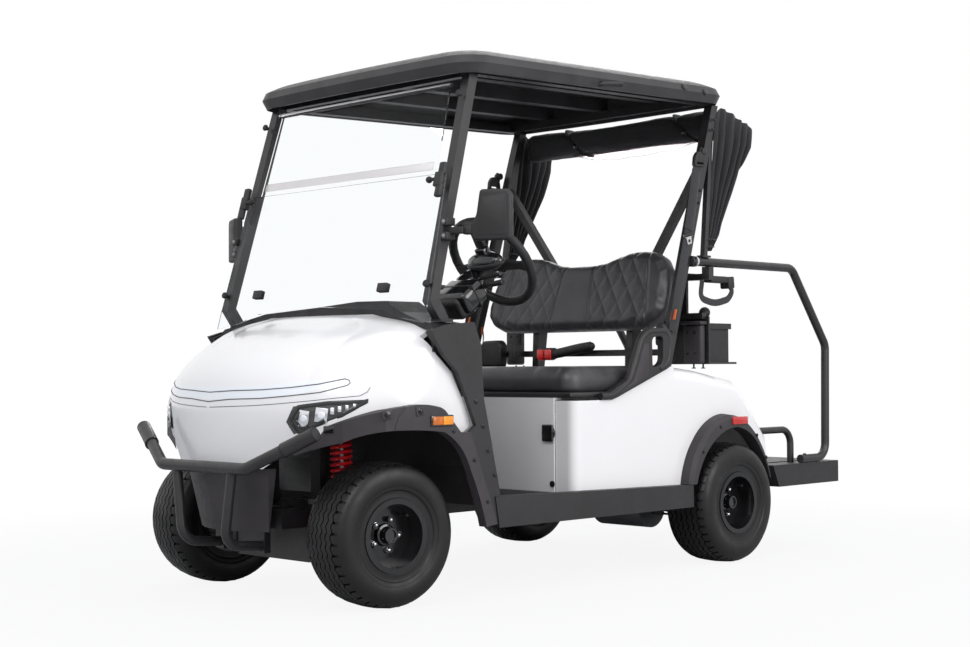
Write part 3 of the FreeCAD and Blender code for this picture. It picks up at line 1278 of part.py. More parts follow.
axle = [Part.makeCylinder(38.0, 2.0 * (float(S["rear_track"]) / 2.0 - 76.0), Vector(76.0 - float(S["rear_track"]) / 2.0, 0, 0), Vector(1, 0, 0))]
stub_end = float(S["rear_track"] / 2.0 + S["rim_width"] / 2.0 - S["disc_inset"]) + 6.0
axle.append(Part.makeCylinder(float(S["spindle_r"]), 2.0 * stub_end, Vector(-stub_end, 0, 0), Vector(1, 0, 0)))
case = Part.makeCylinder(105.0, 110.0, Vector(-55, 0, 0), Vector(1, 0, 0))
axle.append(case)
feature("rear_axle", fuse(axle), y=REAR_AXLE_Y, z=S["axle_z"])
motor = Part.makeCylinder(84.0, 240.0, Vector(55.3, 0, 0), Vector(1, 0, 0))
feature("drive_motor", motor.cut(Part.makeCylinder(38.3, 260.0, Vector(50, 110, -10), Vector(1, 0, 0))),
        y=REAR_AXLE_Y - 125.0, z=S["axle_z"] - 22.0)
leaves = []
for sign in (1.0, -1.0):
    x = sign * 345.0
    for level, reach in ((0.0, 290.0), (-9.0, 220.0), (-18.0, 150.0)):
        leaf = [(-reach, level + 66.0 * (reach / 290.0) ** 2), (0, level), (reach, level + 66.0 * (reach / 290.0) ** 2),
                (reach, level + 66.0 * (reach / 290.0) ** 2 + 8.8), (0, level + 8.8), (-reach, level + 66.0 * (reach / 290.0) ** 2 + 8.8)]
        leaves.append(slab(leaf, "x", x - 25, x + 25))
springs = [fuse(leaves[:3] + [block(320, 370, -30, 30, -22, 12)]), fuse(leaves[3:] + [block(-370, -320, -30, 30, -22, 12)])]
feature("rear_springs", Part.makeCompound(springs), y=REAR_AXLE_Y, z=S["axle_z"] - 38.0 - 12.3)
pedals = []
for x, wide in ((212.0, 60.0), (120.0, 84.0)):
    plate = slab(((332, 400), (340, 405), (292, 479), (284, 474)), "x", x, x + wide)
    stem = slab(((293.9, 414), (299.1, 404), (333, 408), (326, 418)), "x", x + wide / 2.0 - 9.0, x + wide / 2.0 + 9.0)
    pedals.append(fuse([plate, stem]))
feature("pedals", Part.makeCompound(pedals))


def finish():
    DOC.recompute()
    for item in DOC.Objects:
        if "Invalid" in item.State or "Error" in item.State:
            raise RuntimeError("%s failed: %s" % (item.Label, item.State))
    os.makedirs("parts", exist_ok=True)
    for item in PARTS:
        shape = item.Shape
        if shape.isNull() or not shape.isValid() or not shape.Solids:
            raise RuntimeError(item.Label + " has no valid solid")
        shape.exportStep("parts/%s.step" % item.Label)
    print(len(PARTS), "sub-parts written")


finish()
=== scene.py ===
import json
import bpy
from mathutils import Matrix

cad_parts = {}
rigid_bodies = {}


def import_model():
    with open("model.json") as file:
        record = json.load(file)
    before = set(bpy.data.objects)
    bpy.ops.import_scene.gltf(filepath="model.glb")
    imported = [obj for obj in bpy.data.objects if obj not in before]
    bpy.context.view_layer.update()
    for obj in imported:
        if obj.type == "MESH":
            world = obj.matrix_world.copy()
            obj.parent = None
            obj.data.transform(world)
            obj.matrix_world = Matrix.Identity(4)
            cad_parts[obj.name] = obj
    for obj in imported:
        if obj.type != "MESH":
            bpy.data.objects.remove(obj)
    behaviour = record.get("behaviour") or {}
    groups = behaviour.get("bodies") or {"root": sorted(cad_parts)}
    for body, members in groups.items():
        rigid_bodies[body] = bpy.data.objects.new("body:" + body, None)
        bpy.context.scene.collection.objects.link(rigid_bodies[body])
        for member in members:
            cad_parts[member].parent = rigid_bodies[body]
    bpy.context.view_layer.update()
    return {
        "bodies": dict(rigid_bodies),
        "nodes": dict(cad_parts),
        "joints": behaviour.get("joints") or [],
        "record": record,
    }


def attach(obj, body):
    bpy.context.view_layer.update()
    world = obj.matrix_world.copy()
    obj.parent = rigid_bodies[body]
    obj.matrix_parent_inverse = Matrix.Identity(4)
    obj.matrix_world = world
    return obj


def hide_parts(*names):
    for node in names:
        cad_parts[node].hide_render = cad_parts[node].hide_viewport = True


bl_info = {
    "name": "Golf Cart Dressing",
    "version": (1, 0, 0),
    "blender": (4, 5, 0),
    "location": "View3D > Sidebar > Cart",
    "description": "Builds the finishes, trim and soft parts of a two-seat golf cart",
    "category": "Object",
}

from math import atan2, copysign, cos, exp, floor, hypot, pi, radians, sin, sqrt, tau

import bmesh
import bpy
from mathutils import Matrix, Vector, noise
from mathutils.bvhtree import BVHTree

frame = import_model()
NODES = frame["nodes"]
JOINTS = {joint["name"]: joint for joint in frame["joints"]}
DATUM = 1.049  # the nose datum lies this far in front of the origin
SIDES = (("left", 1.0), ("right", -1.0))
WHEELS = ("front_left", "front_right", "rear_left", "rear_right")
LEFT, BACK, UP = Vector((1, 0, 0)), Vector((0, 1, 0)), Vector((0, 0, 1))  # the cart's own left, back and up
shift = Matrix.Translation


def at(x, y, z):
    """A point from millimetres, with y counted back from the nose datum."""
    return Vector((x / 1000.0, y / 1000.0 - DATUM, z / 1000.0))


def spots(*places):
    return [at(*place) for place in places]


def put(x, y, z):
    return shift(at(x, y, z))


def rise(by):
    return shift((0.0, 0.0, by))


def spin(angle, axis):
    return Matrix.Rotation(angle, 4, axis)


SOLID_CREASE = 28.0  # degrees from which an edge of a solid stays sharp
EYE = at(4214.25, -3285.82, 752.76)  # the viewpoint


# ------------------------------------------------------------------ finishes

class Finish:
    """A node-based material read in object coordinates."""

    made = {}

    def __init__(self, name, colour, rough, **sockets):
        self.material = bpy.data.materials.new(name)
        self.material.use_nodes = True
        self.tree = self.material.node_tree
        self.shader = self.tree.nodes["Principled BSDF"]
        self.coords = self.add("ShaderNodeTexCoord").outputs["Object"]
        self.set("Base Color", (*colour, 1.0))
        self.set("Roughness", rough)
        for key, value in sockets.items():
            self.set(key.replace("_", " ").title().replace("Ior", "IOR"), value)
        Finish.made[name] = self.material

    def set(self, socket, value):
        self.shader.inputs[socket].default_value = value

    def add(self, kind, **values):
        node = self.tree.nodes.new(kind)
        for key, value in values.items():
            if hasattr(node, key):
                setattr(node, key, value)
            else:
                node.inputs[key.replace("_", " ").title()].default_value = value
        return node

    def join(self, output, socket):
        self.tree.links.new(output, socket)

    def stretched(self, scale):
        mapping = self.add("ShaderNodeMapping")
        mapping.inputs["Scale"].default_value = scale
        self.join(self.coords, mapping.inputs["Vector"])
        return mapping.outputs["Vector"]

    def cloud(self, scale, detail=3.0, stretch=None):
        node = self.add("ShaderNodeTexNoise", scale=scale, detail=detail)
        self.join(self.stretched(stretch) if stretch else self.coords, node.inputs["Vector"])
        return node.outputs["Fac"]

    def cells(self, scale):
        node = self.add("ShaderNodeTexVoronoi", feature="DISTANCE_TO_EDGE", scale=scale)
        self.join(self.coords, node.inputs["Vector"])
        return node.outputs["Distance"]

    def ramp(self, factor, low, high, start=0.35, stop=0.65):
        node = self.add("ShaderNodeMapRange")
        for socket, value in (("From Min", start), ("From Max", stop), ("To Min", low), ("To Max", high)):
            node.inputs[socket].default_value = value
        self.join(factor, node.inputs["Value"])
        return node.outputs["Result"]

    def tint(self, factor, dark, light, start=0.35, stop=0.65):
        node = self.add("ShaderNodeMix", data_type="RGBA")
        self.join(self.ramp(factor, 0.0, 1.0, start, stop), node.inputs[0])
        node.inputs[6].default_value = (*dark, 1.0)
        node.inputs[7].default_value = (*light, 1.0)
        self.join(node.outputs[2], self.shader.inputs["Base Color"])

    def sheen_of(self, factor, low, high, start=0.3, stop=0.7):
        self.join(self.ramp(factor, low, high, start, stop), self.shader.inputs["Roughness"])

    def relief(self, height, depth, strength=0.5):
        bump = self.add("ShaderNodeBump")
        bump.inputs["Strength"].default_value = strength
        bump.inputs["Distance"].default_value = depth
        self.join(height, bump.inputs["Height"])
        held = self.shader.inputs["Normal"]
        if held.is_linked:
            self.join(held.links[0].from_socket, bump.inputs["Normal"])
        self.join(bump.outputs["Normal"], held)


def shade(colour, factor):
    return tuple(min(1.0, part * factor) for part in colour)


def gloss_shell(name, colour, rough=0.22):
    made = Finish(name, colour, rough, coat_weight=0.5, coat_roughness=0.06)
    made.tint(made.cloud(2.2), shade(colour, 0.985), shade(colour, 1.01))
    made.sheen_of(made.cloud(14.0), rough * 0.85, rough * 1.2)
    made.relief(made.cloud(260.0, 2.0), 0.00012, 0.25)
    return made


def grained_plastic(name, colour, rough=0.52, grain=520.0, depth=0.00025):
    made = Finish(name, colour, rough)
    made.tint(made.cloud(9.0, 5.0), shade(colour, 0.8), shade(colour, 1.25))
    made.sheen_of(made.cloud(36.0, 4.0), rough * 0.86, rough * 1.16)
    made.relief(made.cells(grain), depth, 0.6)
    made.relief(made.cloud(grain * 0.6, 2.0), depth, 0.3)
    return made


def powder_coat(name, colour, rough=0.36):
    made = Finish(name, colour, rough)
    made.tint(made.cloud(12.0, 4.0), shade(colour, 0.85), shade(colour, 1.3))
    made.sheen_of(made.cloud(60.0), rough * 0.8, rough * 1.25)
    made.relief(made.cloud(900.0, 2.0), 0.00012, 0.5)
    return made


def moulded_rubber(name, colour, rough=0.68):
    made = Finish(name, colour, rough, coat_weight=0.10, coat_roughness=0.25, specular_ior_level=0.30)
    made.tint(made.cloud(7.0, 6.0), shade(colour, 0.7), shade(colour, 1.6), 0.3, 0.7)
    made.sheen_of(made.cloud(22.0, 5.0), rough * 0.75, rough * 1.2)
    made.relief(made.cloud(420.0, 4.0), 0.0003, 0.5)
    return made


def machined_metal(name, colour, rough=0.3):
    made = Finish(name, colour, rough, metallic=1.0)
    made.sheen_of(made.cloud(120.0, 3.0, (1.0, 1.0, 14.0)), rough * 0.7, rough * 1.4)
    made.relief(made.cloud(300.0, 2.0, (1.0, 1.0, 10.0)), 0.00006, 0.4)
    return made


def leatherette(name, colour, rough=0.42):
    made = Finish(name, colour, rough, coat_weight=0.12, coat_roughness=0.35)
    made.tint(made.cloud(6.0, 5.0), shade(colour, 0.82), shade(colour, 1.22))
    made.sheen_of(made.cloud(28.0, 5.0), rough * 0.82, rough * 1.2)
    made.relief(made.cells(620.0), 0.00028, 0.55)
    made.relief(made.cloud(70.0, 4.0), 0.0006, 0.25)
    return made


def woven(name, colour, rough=0.85, threads=700.0):
    made = Finish(name, colour, rough, sheen_weight=0.25, sheen_roughness=0.4)
    made.tint(made.cloud(5.0, 6.0), shade(colour, 0.75), shade(colour, 1.35))
    for axis in ("X", "Z"):
        wave = made.add("ShaderNodeTexWave", bands_direction=axis, scale=threads * 0.32)
        made.join(made.coords, wave.inputs["Vector"])
        made.relief(wave.outputs["Fac"], 0.0002, 0.4)
    return made


def clear_sheet(name, colour, rough=0.02, ior=1.12):
    made = Finish(name, colour, rough, transmission_weight=1.0, ior=ior)
    made.relief(made.cloud(3.0, 2.0), 0.0004, 0.12)
    return made


def lens(name, colour, rough=0.08, body=0.6):
    made = Finish(name, colour, rough, transmission_weight=body, coat_weight=0.6)
    ribs = made.add("ShaderNodeTexWave", bands_direction="Z", scale=60.0)
    made.join(made.coords, ribs.inputs["Vector"])
    made.relief(ribs.outputs["Fac"], 0.0006, 0.35)
    made.tint(made.cloud(30.0), shade(colour, 0.85), shade(colour, 1.1))
    return made


# ------------------------------------------------------------ sizes and colours

def a_length(name, description, value):
    return bpy.props.FloatProperty(name=name, description=description, default=value, unit="LENGTH")


def a_colour(name, description, value):
    return bpy.props.FloatVectorProperty(name=name, description=description, subtype="COLOR", size=3, default=value)


class CartSizes(bpy.types.PropertyGroup):
    tread_depth: a_length("Tread depth", "Depth of the tyre grooves", 0.007)
    tread_steps: bpy.props.IntProperty(name="Tread steps", description="Zigzag steps round a tyre", default=84)
    spring_turns: bpy.props.FloatProperty(name="Spring turns", description="Turns of each red coil", default=17.0)
    spring_wire: a_length("Spring wire", "Wire radius of the red coils", 0.0058)
    quilt_width: a_length("Quilt width", "Width of a sewn diamond", 0.078)
    quilt_height: a_length("Quilt height", "Height of a sewn diamond", 0.112)
    seam_depth: a_length("Seam depth", "Depth of a sewn channel", 0.0042)
    stuffing_rise: a_length("Stuffing rise", "Most that a stuffed surface swells", 0.014)
    voxel: a_length("Cushion mesh", "Mesh size of the stuffed parts", 0.006)


class CartColours(bpy.types.PropertyGroup):
    shell: a_colour("Shell", "Body panels", (0.80, 0.788, 0.80))
    trim: a_colour("Trim", "Black mouldings", (0.0112, 0.0098, 0.0112))
    canopy: a_colour("Canopy", "Roof moulding", (0.026, 0.0238, 0.0262))
    flare: a_colour("Flares", "Wheel-arch flares", (0.026, 0.0225, 0.0255))
    steel: a_colour("Frame", "Coated steel", (0.0150, 0.0138, 0.0152))
    tyre: a_colour("Tyres", "Tyre rubber", (0.0050, 0.0049, 0.0053))
    seat: a_colour("Seat", "Seat covers", (0.040, 0.039, 0.043))
    cover: a_colour("Bag cover", "Rolled rain cover", (0.017, 0.0165, 0.0185))
    spring: a_colour("Springs", "Coil springs", (0.55, 0.012, 0.018))


# -------------------------------------------------------------- making pieces

def blanks(count):
    return [bmesh.new() for _ in range(count)]


def build(name, shape, finish, body="chassis", stands_for=(), smooth=35.0, closed=True):
    """Turns a bmesh into a finished piece that rides on a body, with the faces of a closed one turned outwards."""
    bmesh.ops.remove_doubles(shape, verts=shape.verts, dist=1e-6)
    if closed:
        bmesh.ops.recalc_face_normals(shape, faces=shape.faces)
    mesh = bpy.data.meshes.new(name)
    shape.to_mesh(mesh)
    shape.free()
    piece = bpy.data.objects.new(name, mesh)
    bpy.context.scene.collection.objects.link(piece)
    dress(piece, finish, body, stands_for)
    if smooth:
        mesh.shade_smooth()
        mesh.set_sharp_from_angle(angle=radians(smooth))
    return piece


def dress(piece, finish, body, stands_for=()):
    piece.data.materials.clear()
    piece.data.materials.append(Finish.made[finish])
    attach(piece, body)
    if stands_for:
        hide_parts(*stands_for)


def bake(piece):
    """Applies the modifiers of a piece to its mesh."""
    graph = bpy.context.evaluated_depsgraph_get()
    graph.update()
    mesh = bpy.data.meshes.new_from_object(piece.evaluated_get(graph))
    old = piece.data
    piece.modifiers.clear()
    piece.data = mesh
    mesh.name = old.name
    bpy.data.meshes.remove(old)
    return piece


def rounded(shape, edges, radius, segments=2):
    bmesh.ops.bevel(shape, geom=list(edges), offset=radius, segments=segments, affect="EDGES", profile=0.5,
            material=-1, clamp_overlap=True)


def edges_of(verts):
    """The edges at some points, each of them once and in the same order every time."""
    return list(dict.fromkeys(edge for vert in verts for edge in vert.link_edges))


def cube(shape, size, place, radius=0.0, segments=2):
    """A box of the given size at a matrix, with every edge rounded."""
    made = bmesh.ops.create_cube(shape, size=1.0)["verts"]
    bmesh.ops.scale(shape, verts=made, vec=size)
    bmesh.ops.transform(shape, verts=made, matrix=place)
    if radius:
        rounded(shape, edges_of(made), radius, segments)


def rod(shape, start, end, radius, segments=20, radius_end=None, bevel=0.0):
    """A round bar between two points."""
    run = end - start
    place = shift((start + end) / 2.0) @ run.to_track_quat("Z", "Y").to_matrix().to_4x4()
    made = bmesh.ops.create_cone(shape, cap_ends=True, segments=segments, radius1=radius,
            radius2=radius if radius_end is None else radius_end, depth=run.length, matrix=place)["verts"]
    if bevel:
        ends = [edge for edge in edges_of(made) if len(edge.link_faces) == 2
                and any(len(face.verts) > 4 for face in edge.link_faces)]
        rounded(shape, ends, bevel, 2)


def ball(shape, centre, radius, detail=14):
    bmesh.ops.create_uvsphere(shape, u_segments=detail * 2, v_segments=detail, radius=radius, matrix=shift(centre))


def revolved(shape, profile, place, steps=64):
    """Spins a line of (distance along, radius) round the X axis of a matrix."""
    before = set(shape.verts)
    verts = [shape.verts.new(Vector((run, 0.0, radius))) for run, radius in profile]
    edges = [shape.edges.new(pair) for pair in zip(verts, verts[1:])]
    bmesh.ops.spin(shape, geom=verts + edges, cent=(0, 0, 0), axis=(1, 0, 0), angle=tau, steps=steps, use_merge=True)
    made = [vert for vert in shape.verts if vert not in before]
    bmesh.ops.remove_doubles(shape, verts=made, dist=1e-6)
    bmesh.ops.transform(shape, verts=[vert for vert in shape.verts if vert not in before], matrix=place)


def swept(shape, points, radius, segments=16, closed=False, flat=1.0, start_up=None):
    """A round section carried along a line of points without twisting."""
    count = len(points)
    heading = None
    turn = None
    rings = []
    for index, point in enumerate(points):
        before = points[index - 1] if index or closed else point
        after = points[(index + 1) % count] if index < count - 1 or closed else point
        ahead = (after - before).normalized()
        if heading is None:
            turn = ahead.to_track_quat("Z", "Y")
            if start_up is not None:
                side = start_up.cross(ahead).normalized()
                turn = Matrix((side, ahead.cross(side), ahead)).transposed().to_quaternion()
        else:
            turn = heading.rotation_difference(ahead) @ turn
        heading = ahead
        size = radius[index] if isinstance(radius, (list, tuple)) else radius
        place = shift(point) @ turn.to_matrix().to_4x4() @ Matrix.Diagonal((1, flat, 1, 1))
        rings.append(bmesh.ops.create_circle(shape, cap_ends=False, segments=segments, radius=size,
                matrix=place)["verts"])
    loops = [edges_of(ring) for ring in rings]
    for one, two in zip(loops, loops[1:] + ([loops[0]] if closed else [])):
        bmesh.ops.bridge_loops(shape, edges=one + two)
    if not closed:
        for ring in (rings[0], rings[-1]):
            shape.faces.new(ring)
    return rings


def frame_of(origin, x_axis, y_axis):
    """A matrix with its origin and first two axes given."""
    x_axis = x_axis.normalized()
    z_axis = x_axis.cross(y_axis).normalized()
    y_axis = z_axis.cross(x_axis)
    place = Matrix.Identity(4)
    for row in range(3):
        place[row] = (x_axis[row], y_axis[row], z_axis[row], origin[row])
    return place


def facing(x, y, z):
    """A matrix facing forward: X to the left side, Y up and Z out of the front."""
    return frame_of(at(x, y, z), LEFT, UP)


def arc_points(points, bend, steps=6):
    """Rounds the corners of a line of points with arcs of about the given radius."""
    path = [points[0]]
    for before, corner, after in zip(points, points[1:], points[2:]):
        inward, onward = (before - corner), (after - corner)
        reach = min(bend, inward.length * 0.45, onward.length * 0.45)
        start, stop = corner + inward.normalized() * reach, corner + onward.normalized() * reach
        for step in range(steps + 1):
            t = step / steps
            path.append(start * (1 - t) ** 2 + corner * (2 * t * (1 - t)) + stop * t * t)
    path.append(points[-1])
    return path


def wheel_place(name):
    """The matrix that stands a wheel, drawn about the X axis, on its hub."""
    joint = JOINTS["spin_" + name]
    centre, axis = Vector(joint["pos_m"]), Vector(joint["axis"])
    return frame_of(centre, axis, Vector((-axis.y, axis.x, 0.0)))


class Skin:
    """The surface of carried-over nodes, to set small pieces on."""

    def __init__(self, *names):
        verts, faces = [], []
        heart = at(0, 1100, 700)
        for name in names:
            mesh = NODES[name].data
            first = len(verts)
            verts += [vert.co.copy() for vert in mesh.vertices]
            faces += [[first + index for index in face.vertices] for face in mesh.polygons
                    if face.normal.dot(face.center - heart) > 0.0]
        self.tree = BVHTree.FromPolygons(verts, faces)

    def on(self, point, lift=0.0):
        """Place on the surface in line with the viewpoint, or else the nearest, and the way out of it."""
        spot, normal = self.tree.ray_cast(EYE, (point - EYE).normalized())[:2]
        if spot is None:
            spot, normal = self.tree.find_nearest(point)[:2]
        return spot + normal * lift, normal

    def line(self, points, lift, step=0.012):
        """A line of points laid on the surface."""
        path = []
        for one, two in zip(points, points[1:]):
            count = max(1, int((two - one).length / step))
            path += [self.on(one.lerp(two, index / count), lift)[0] for index in range(count)]
        return path + [self.on(points[-1], lift)[0]]

    def seat(self, point, lift=0.0, up=UP):
        """A matrix standing on the surface, Z out of it and Y as near as can be to up."""
        spot, normal = self.on(point, lift)
        side = up.cross(normal).normalized()
        return frame_of(spot, side, normal.cross(side))


def mirrored(shape):
    """Adds the right-hand twin of a left-hand shape."""
    bmesh.ops.mirror(shape, geom=shape.verts[:] + shape.edges[:] + shape.faces[:], axis="X", merge_dist=-1.0)
    return shape


def bolt(shape, place, radius, head=0.004, sides=6):
    """A washer and a bolt head standing on a matrix."""
    rod(shape, place @ Vector((0, 0, -0.001)), place @ Vector((0, 0, 0.0014)), radius * 1.45, 20, None, 0.0004)
    rod(shape, place @ Vector((0, 0, 0.0012)), place @ Vector((0, 0, head + 0.0012)), radius, sides, radius * 0.94,
            0.0005)


# ------------------------------------------------------------------ operators

class CartOperator:
    bl_options = {"REGISTER", "UNDO"}

    def execute(self, context):
        self.make(context.scene.cart_sizes)
        return {"FINISHED"}


SLOT_FINISH = {  # the solids' finish by material slot
    "body_white": "shell_white", "trim_black": "trim_grain", "canopy_charcoal": "canopy_grain",
    "flare_grey": "flare_grain", "frame_black": "frame_coat", "tyre": "tyre_rubber", "rim_black": "rim_enamel",
    "screen": "screen_clear", "lens": "lens_clear", "strip": "lamp_white", "spring_red": "spring_enamel",
    "steel": "dull_steel", "leather": "seat_hide", "canvas": "cover_cloth", "mat_rubber": "mat_rubber",
}


class CART_OT_finishes(CartOperator, bpy.types.Operator):
    """Gives every moulded and metal part its finish"""
    bl_idname = "cart.finishes"
    bl_label = "Finishes"

    def execute(self, context):
        colours = context.scene.cart_colours
        tone = {key: tuple(getattr(colours, key)) for key in colours.__annotations__}
        gloss_shell("shell_white", tone["shell"])
        grained_plastic("trim_grain", tone["trim"])
        grained_plastic("canopy_grain", tone["canopy"], 0.45, 640.0, 0.00018)
        grained_plastic("flare_grain", tone["flare"], 0.58, 430.0, 0.0004)
        powder_coat("frame_coat", tone["steel"])
        powder_coat("rim_enamel", (0.009, 0.009, 0.010), 0.16)
        powder_coat("spring_enamel", tone["spring"], 0.25)
        moulded_rubber("tyre_rubber", tone["tyre"], 0.5)
        moulded_rubber("soft_rubber", (0.014, 0.014, 0.015), 0.6)
        moulded_rubber("mat_rubber", (0.020, 0.020, 0.022), 0.75)
        machined_metal("bright_steel", (0.62, 0.62, 0.64), 0.24)
        machined_metal("dull_steel", (0.28, 0.28, 0.30), 0.42)
        machined_metal("mirror_glass", (0.80, 0.82, 0.84), 0.03)
        machined_metal("chrome", (0.74, 0.75, 0.78), 0.12)
        leatherette("seat_hide", tone["seat"])
        leatherette("seat_thread", (0.045, 0.045, 0.05), 0.55)
        woven("cover_cloth", tone["cover"])
        woven("belt_web", (0.014, 0.014, 0.016), 0.75, 1100.0)
        clear_sheet("screen_clear", (0.955, 0.975, 0.98))
        # pale pinkish band of the split, also used for the rod that paints the highlight along the screen's top edge
        clear_sheet("screen_band_and_highlight", (0.74, 0.71, 0.72), 0.28, 1.2)
        clear_sheet("cover_film", (0.66, 0.59, 0.61), 0.3, 1.2)
        lens("lens_clear", (0.93, 0.95, 0.97), 0.05, 0.9)
        lens("lens_amber", (0.92, 0.30, 0.004), 0.12, 0.05)
        lens("lens_amber_dark", (0.60, 0.14, 0.002), 0.12, 0.05)
        lens("lens_red", (0.52, 0.008, 0.006), 0.12, 0.05)
        gloss_shell("lamp_white", (0.80, 0.83, 0.88), 0.2)
        gloss_shell("belt_red", (0.84, 0.012, 0.010), 0.3)
        gloss_shell("tag_orange", (0.75, 0.13, 0.03), 0.5)
        gloss_shell("gloss_black", (0.008, 0.008, 0.009), 0.12)
        # pale grey of the hoop end caps: a painted highlight on the black tube ends
        gloss_shell("cap_highlight_grey", (0.52, 0.52, 0.525), 0.3)
        gloss_shell("lamp_shell", (0.045, 0.046, 0.050), 0.12)
        grained_plastic("seam_dark", (0.10, 0.10, 0.115), 0.6)
        for part in frame["record"]["subparts"]:
            mesh = NODES[part["node"]].data
            mesh.materials.clear()
            mesh.materials.append(Finish.made[SLOT_FINISH[part["material_slot"]]])
            mesh.shade_smooth()
            mesh.set_sharp_from_angle(angle=radians(SOLID_CREASE))
        return {"FINISHED"}


TYRE_PROFILE = (  # across the tyre from its middle: distance, radius
    (0.0, 0.2286), (0.0095, 0.2285), (0.0150, 0.2283), (0.0340, 0.2274), (0.0395, 0.2270), (0.0580, 0.2250),
    (0.0630, 0.2243), (0.074, 0.2219), (0.085, 0.2165), (0.0935, 0.2065), (0.0985, 0.192), (0.1, 0.175),
    (0.0985, 0.160), (0.0975, 0.1575), (0.0955, 0.1555), (0.093, 0.1445), (0.0905, 0.1425), (0.0885, 0.1405),
    (0.0862, 0.128), (0.0880, 0.1215), (0.0872, 0.1175), (0.083, 0.1165),
)
TYRE_BORE = [(0.080, 0.110), (-0.080, 0.110)]
ZIGZAG = 0.0048  # sideways swing of the ribs
GROOVES = (0.01225, 0.03675, 0.0605)  # middles of the grooves, from the middle of the tread


class CART_OT_tyres(CartOperator, bpy.types.Operator):
    """Tyres with zigzag ribs, shoulder blocks and ringed sidewalls"""
    bl_idname = "cart.tyres"
    bl_label = "Tyres"

    def make(self, size):
        steps = size.tread_steps * 2
        for name in WHEELS:
            shape = bmesh.new()
            outer = [(-run, radius) for run, radius in TYRE_PROFILE[:0:-1]] + list(TYRE_PROFILE)
            revolved(shape, outer + TYRE_BORE + outer[:1], Matrix.Identity(4), steps)
            bmesh.ops.remove_doubles(shape, verts=shape.verts, dist=1e-5)
            bmesh.ops.recalc_face_normals(shape, faces=shape.faces)
            grooves, lugs = [], []
            turn = tau / steps
            for vert in shape.verts:
                reach = abs(vert.co.x)
                ring = int(round(atan2(vert.co.y, vert.co.z) / turn))
                if 0.008 < reach < 0.065:
                    vert.co.x += (0, 1, 0, -1)[ring % 4] * ZIGZAG
            for face in shape.faces:
                centre = face.calc_center_median()
                reach = hypot(centre.y, centre.z)
                if reach < 0.2:
                    continue
                across = sum(abs(vert.co.x) for vert in face.verts) / len(face.verts)
                ring = int(floor(atan2(centre.y, centre.z) / turn))
                if any(abs(across - middle) < 0.0044 for middle in GROOVES):
                    grooves.append(face)
                elif across > 0.066 and reach > 0.213 and ring % 4 == (0 if centre.x > 0 else 2):
                    lugs.append(face)
            for faces, slope, depth in ((grooves, 0.0009, size.tread_depth), (lugs, 0.0012, size.tread_depth * 0.75)):
                bmesh.ops.inset_region(shape, faces=faces, thickness=slope, depth=-depth, use_even_offset=True)
            bmesh.ops.transform(shape, verts=shape.verts, matrix=wheel_place(name))
            build("tyre_" + name + "_tread", shape, "tyre_rubber", "wheel_" + name, ["tyre_" + name], 32.0)


DISC = 0.019  # outboard face of the wheel disc from the wheel's middle
NUT_CIRCLE = 0.050
HUB_CAP = ((DISC, 0.036), (DISC + 0.012, 0.035), (DISC + 0.015, 0.033), (DISC + 0.017, 0.027), (DISC + 0.040, 0.0255),
        (DISC + 0.044, 0.0235), (DISC + 0.044, 0.0185), (DISC + 0.038, 0.017), (DISC + 0.038, 0.0))
VALVE = ((0.030, 0.0), (0.030, 0.0045), (0.052, 0.0042), (0.053, 0.0055), (0.062, 0.0052), (0.063, 0.0))


class CART_OT_wheel_trim(CartOperator, bpy.types.Operator):
    """Hub caps, wheel nuts and tyre valves"""
    bl_idname = "cart.wheel_trim"
    bl_label = "Wheel trim"

    def make(self, size):
        for name in WHEELS:
            side = 1.0 if name.endswith("left") else -1.0
            place = wheel_place(name) @ Matrix.Diagonal((side, 1, 1, 1))
            nuts, cap, valve = blanks(3)
            for index in range(5):
                angle = tau * index / 5.0 + 0.4
                foot = Vector((DISC, NUT_CIRCLE * sin(angle), NUT_CIRCLE * cos(angle)))
                rod(nuts, foot, foot + LEFT * 0.013, 0.0105, 6, 0.0095, 0.0012)
                ball(nuts, foot + LEFT * 0.0125, 0.0078, 6)
            revolved(cap, HUB_CAP, Matrix.Identity(4), 40)
            revolved(valve, VALVE, shift((0, 0.062, 0.060)), 12)
            for made, label, finish, slot in ((nuts, "nuts", "bright_steel", "steel"),
                    (cap, "hub_cap", "gloss_black", "rim_black"), (valve, "valve", "soft_rubber", "tyre")):
                bmesh.ops.transform(made, verts=made.verts, matrix=place)
                build("wheel_" + label + "_" + name, made, finish, "wheel_" + name)


COIL_RADIUS = 0.0315


class CART_OT_springs(CartOperator, bpy.types.Operator):
    """Red coil springs of the front suspension"""
    bl_idname = "cart.springs"
    bl_label = "Coil springs"

    def make(self, size):
        shape = bmesh.new()
        for _, sign in SIDES:
            low, high = at(sign * 250.0, 11.0, 214.0), at(sign * 240.6, 11.0, 532.0)
            run = high - low
            place = shift(low) @ run.to_track_quat("Z", "Y").to_matrix().to_4x4()
            steps = int(size.spring_turns * 28)
            points = []
            for step in range(steps + 1):
                angle = tau * size.spring_turns * step / steps
                points.append(place @ Vector((COIL_RADIUS * cos(angle), COIL_RADIUS * sin(angle),
                        run.length * step / steps)))
            swept(shape, points, size.spring_wire, 10)
        build("coil_springs", shape, "spring_enamel", stands_for=["front_springs"])


# ---------------------------------------------------------------- nose and lamps

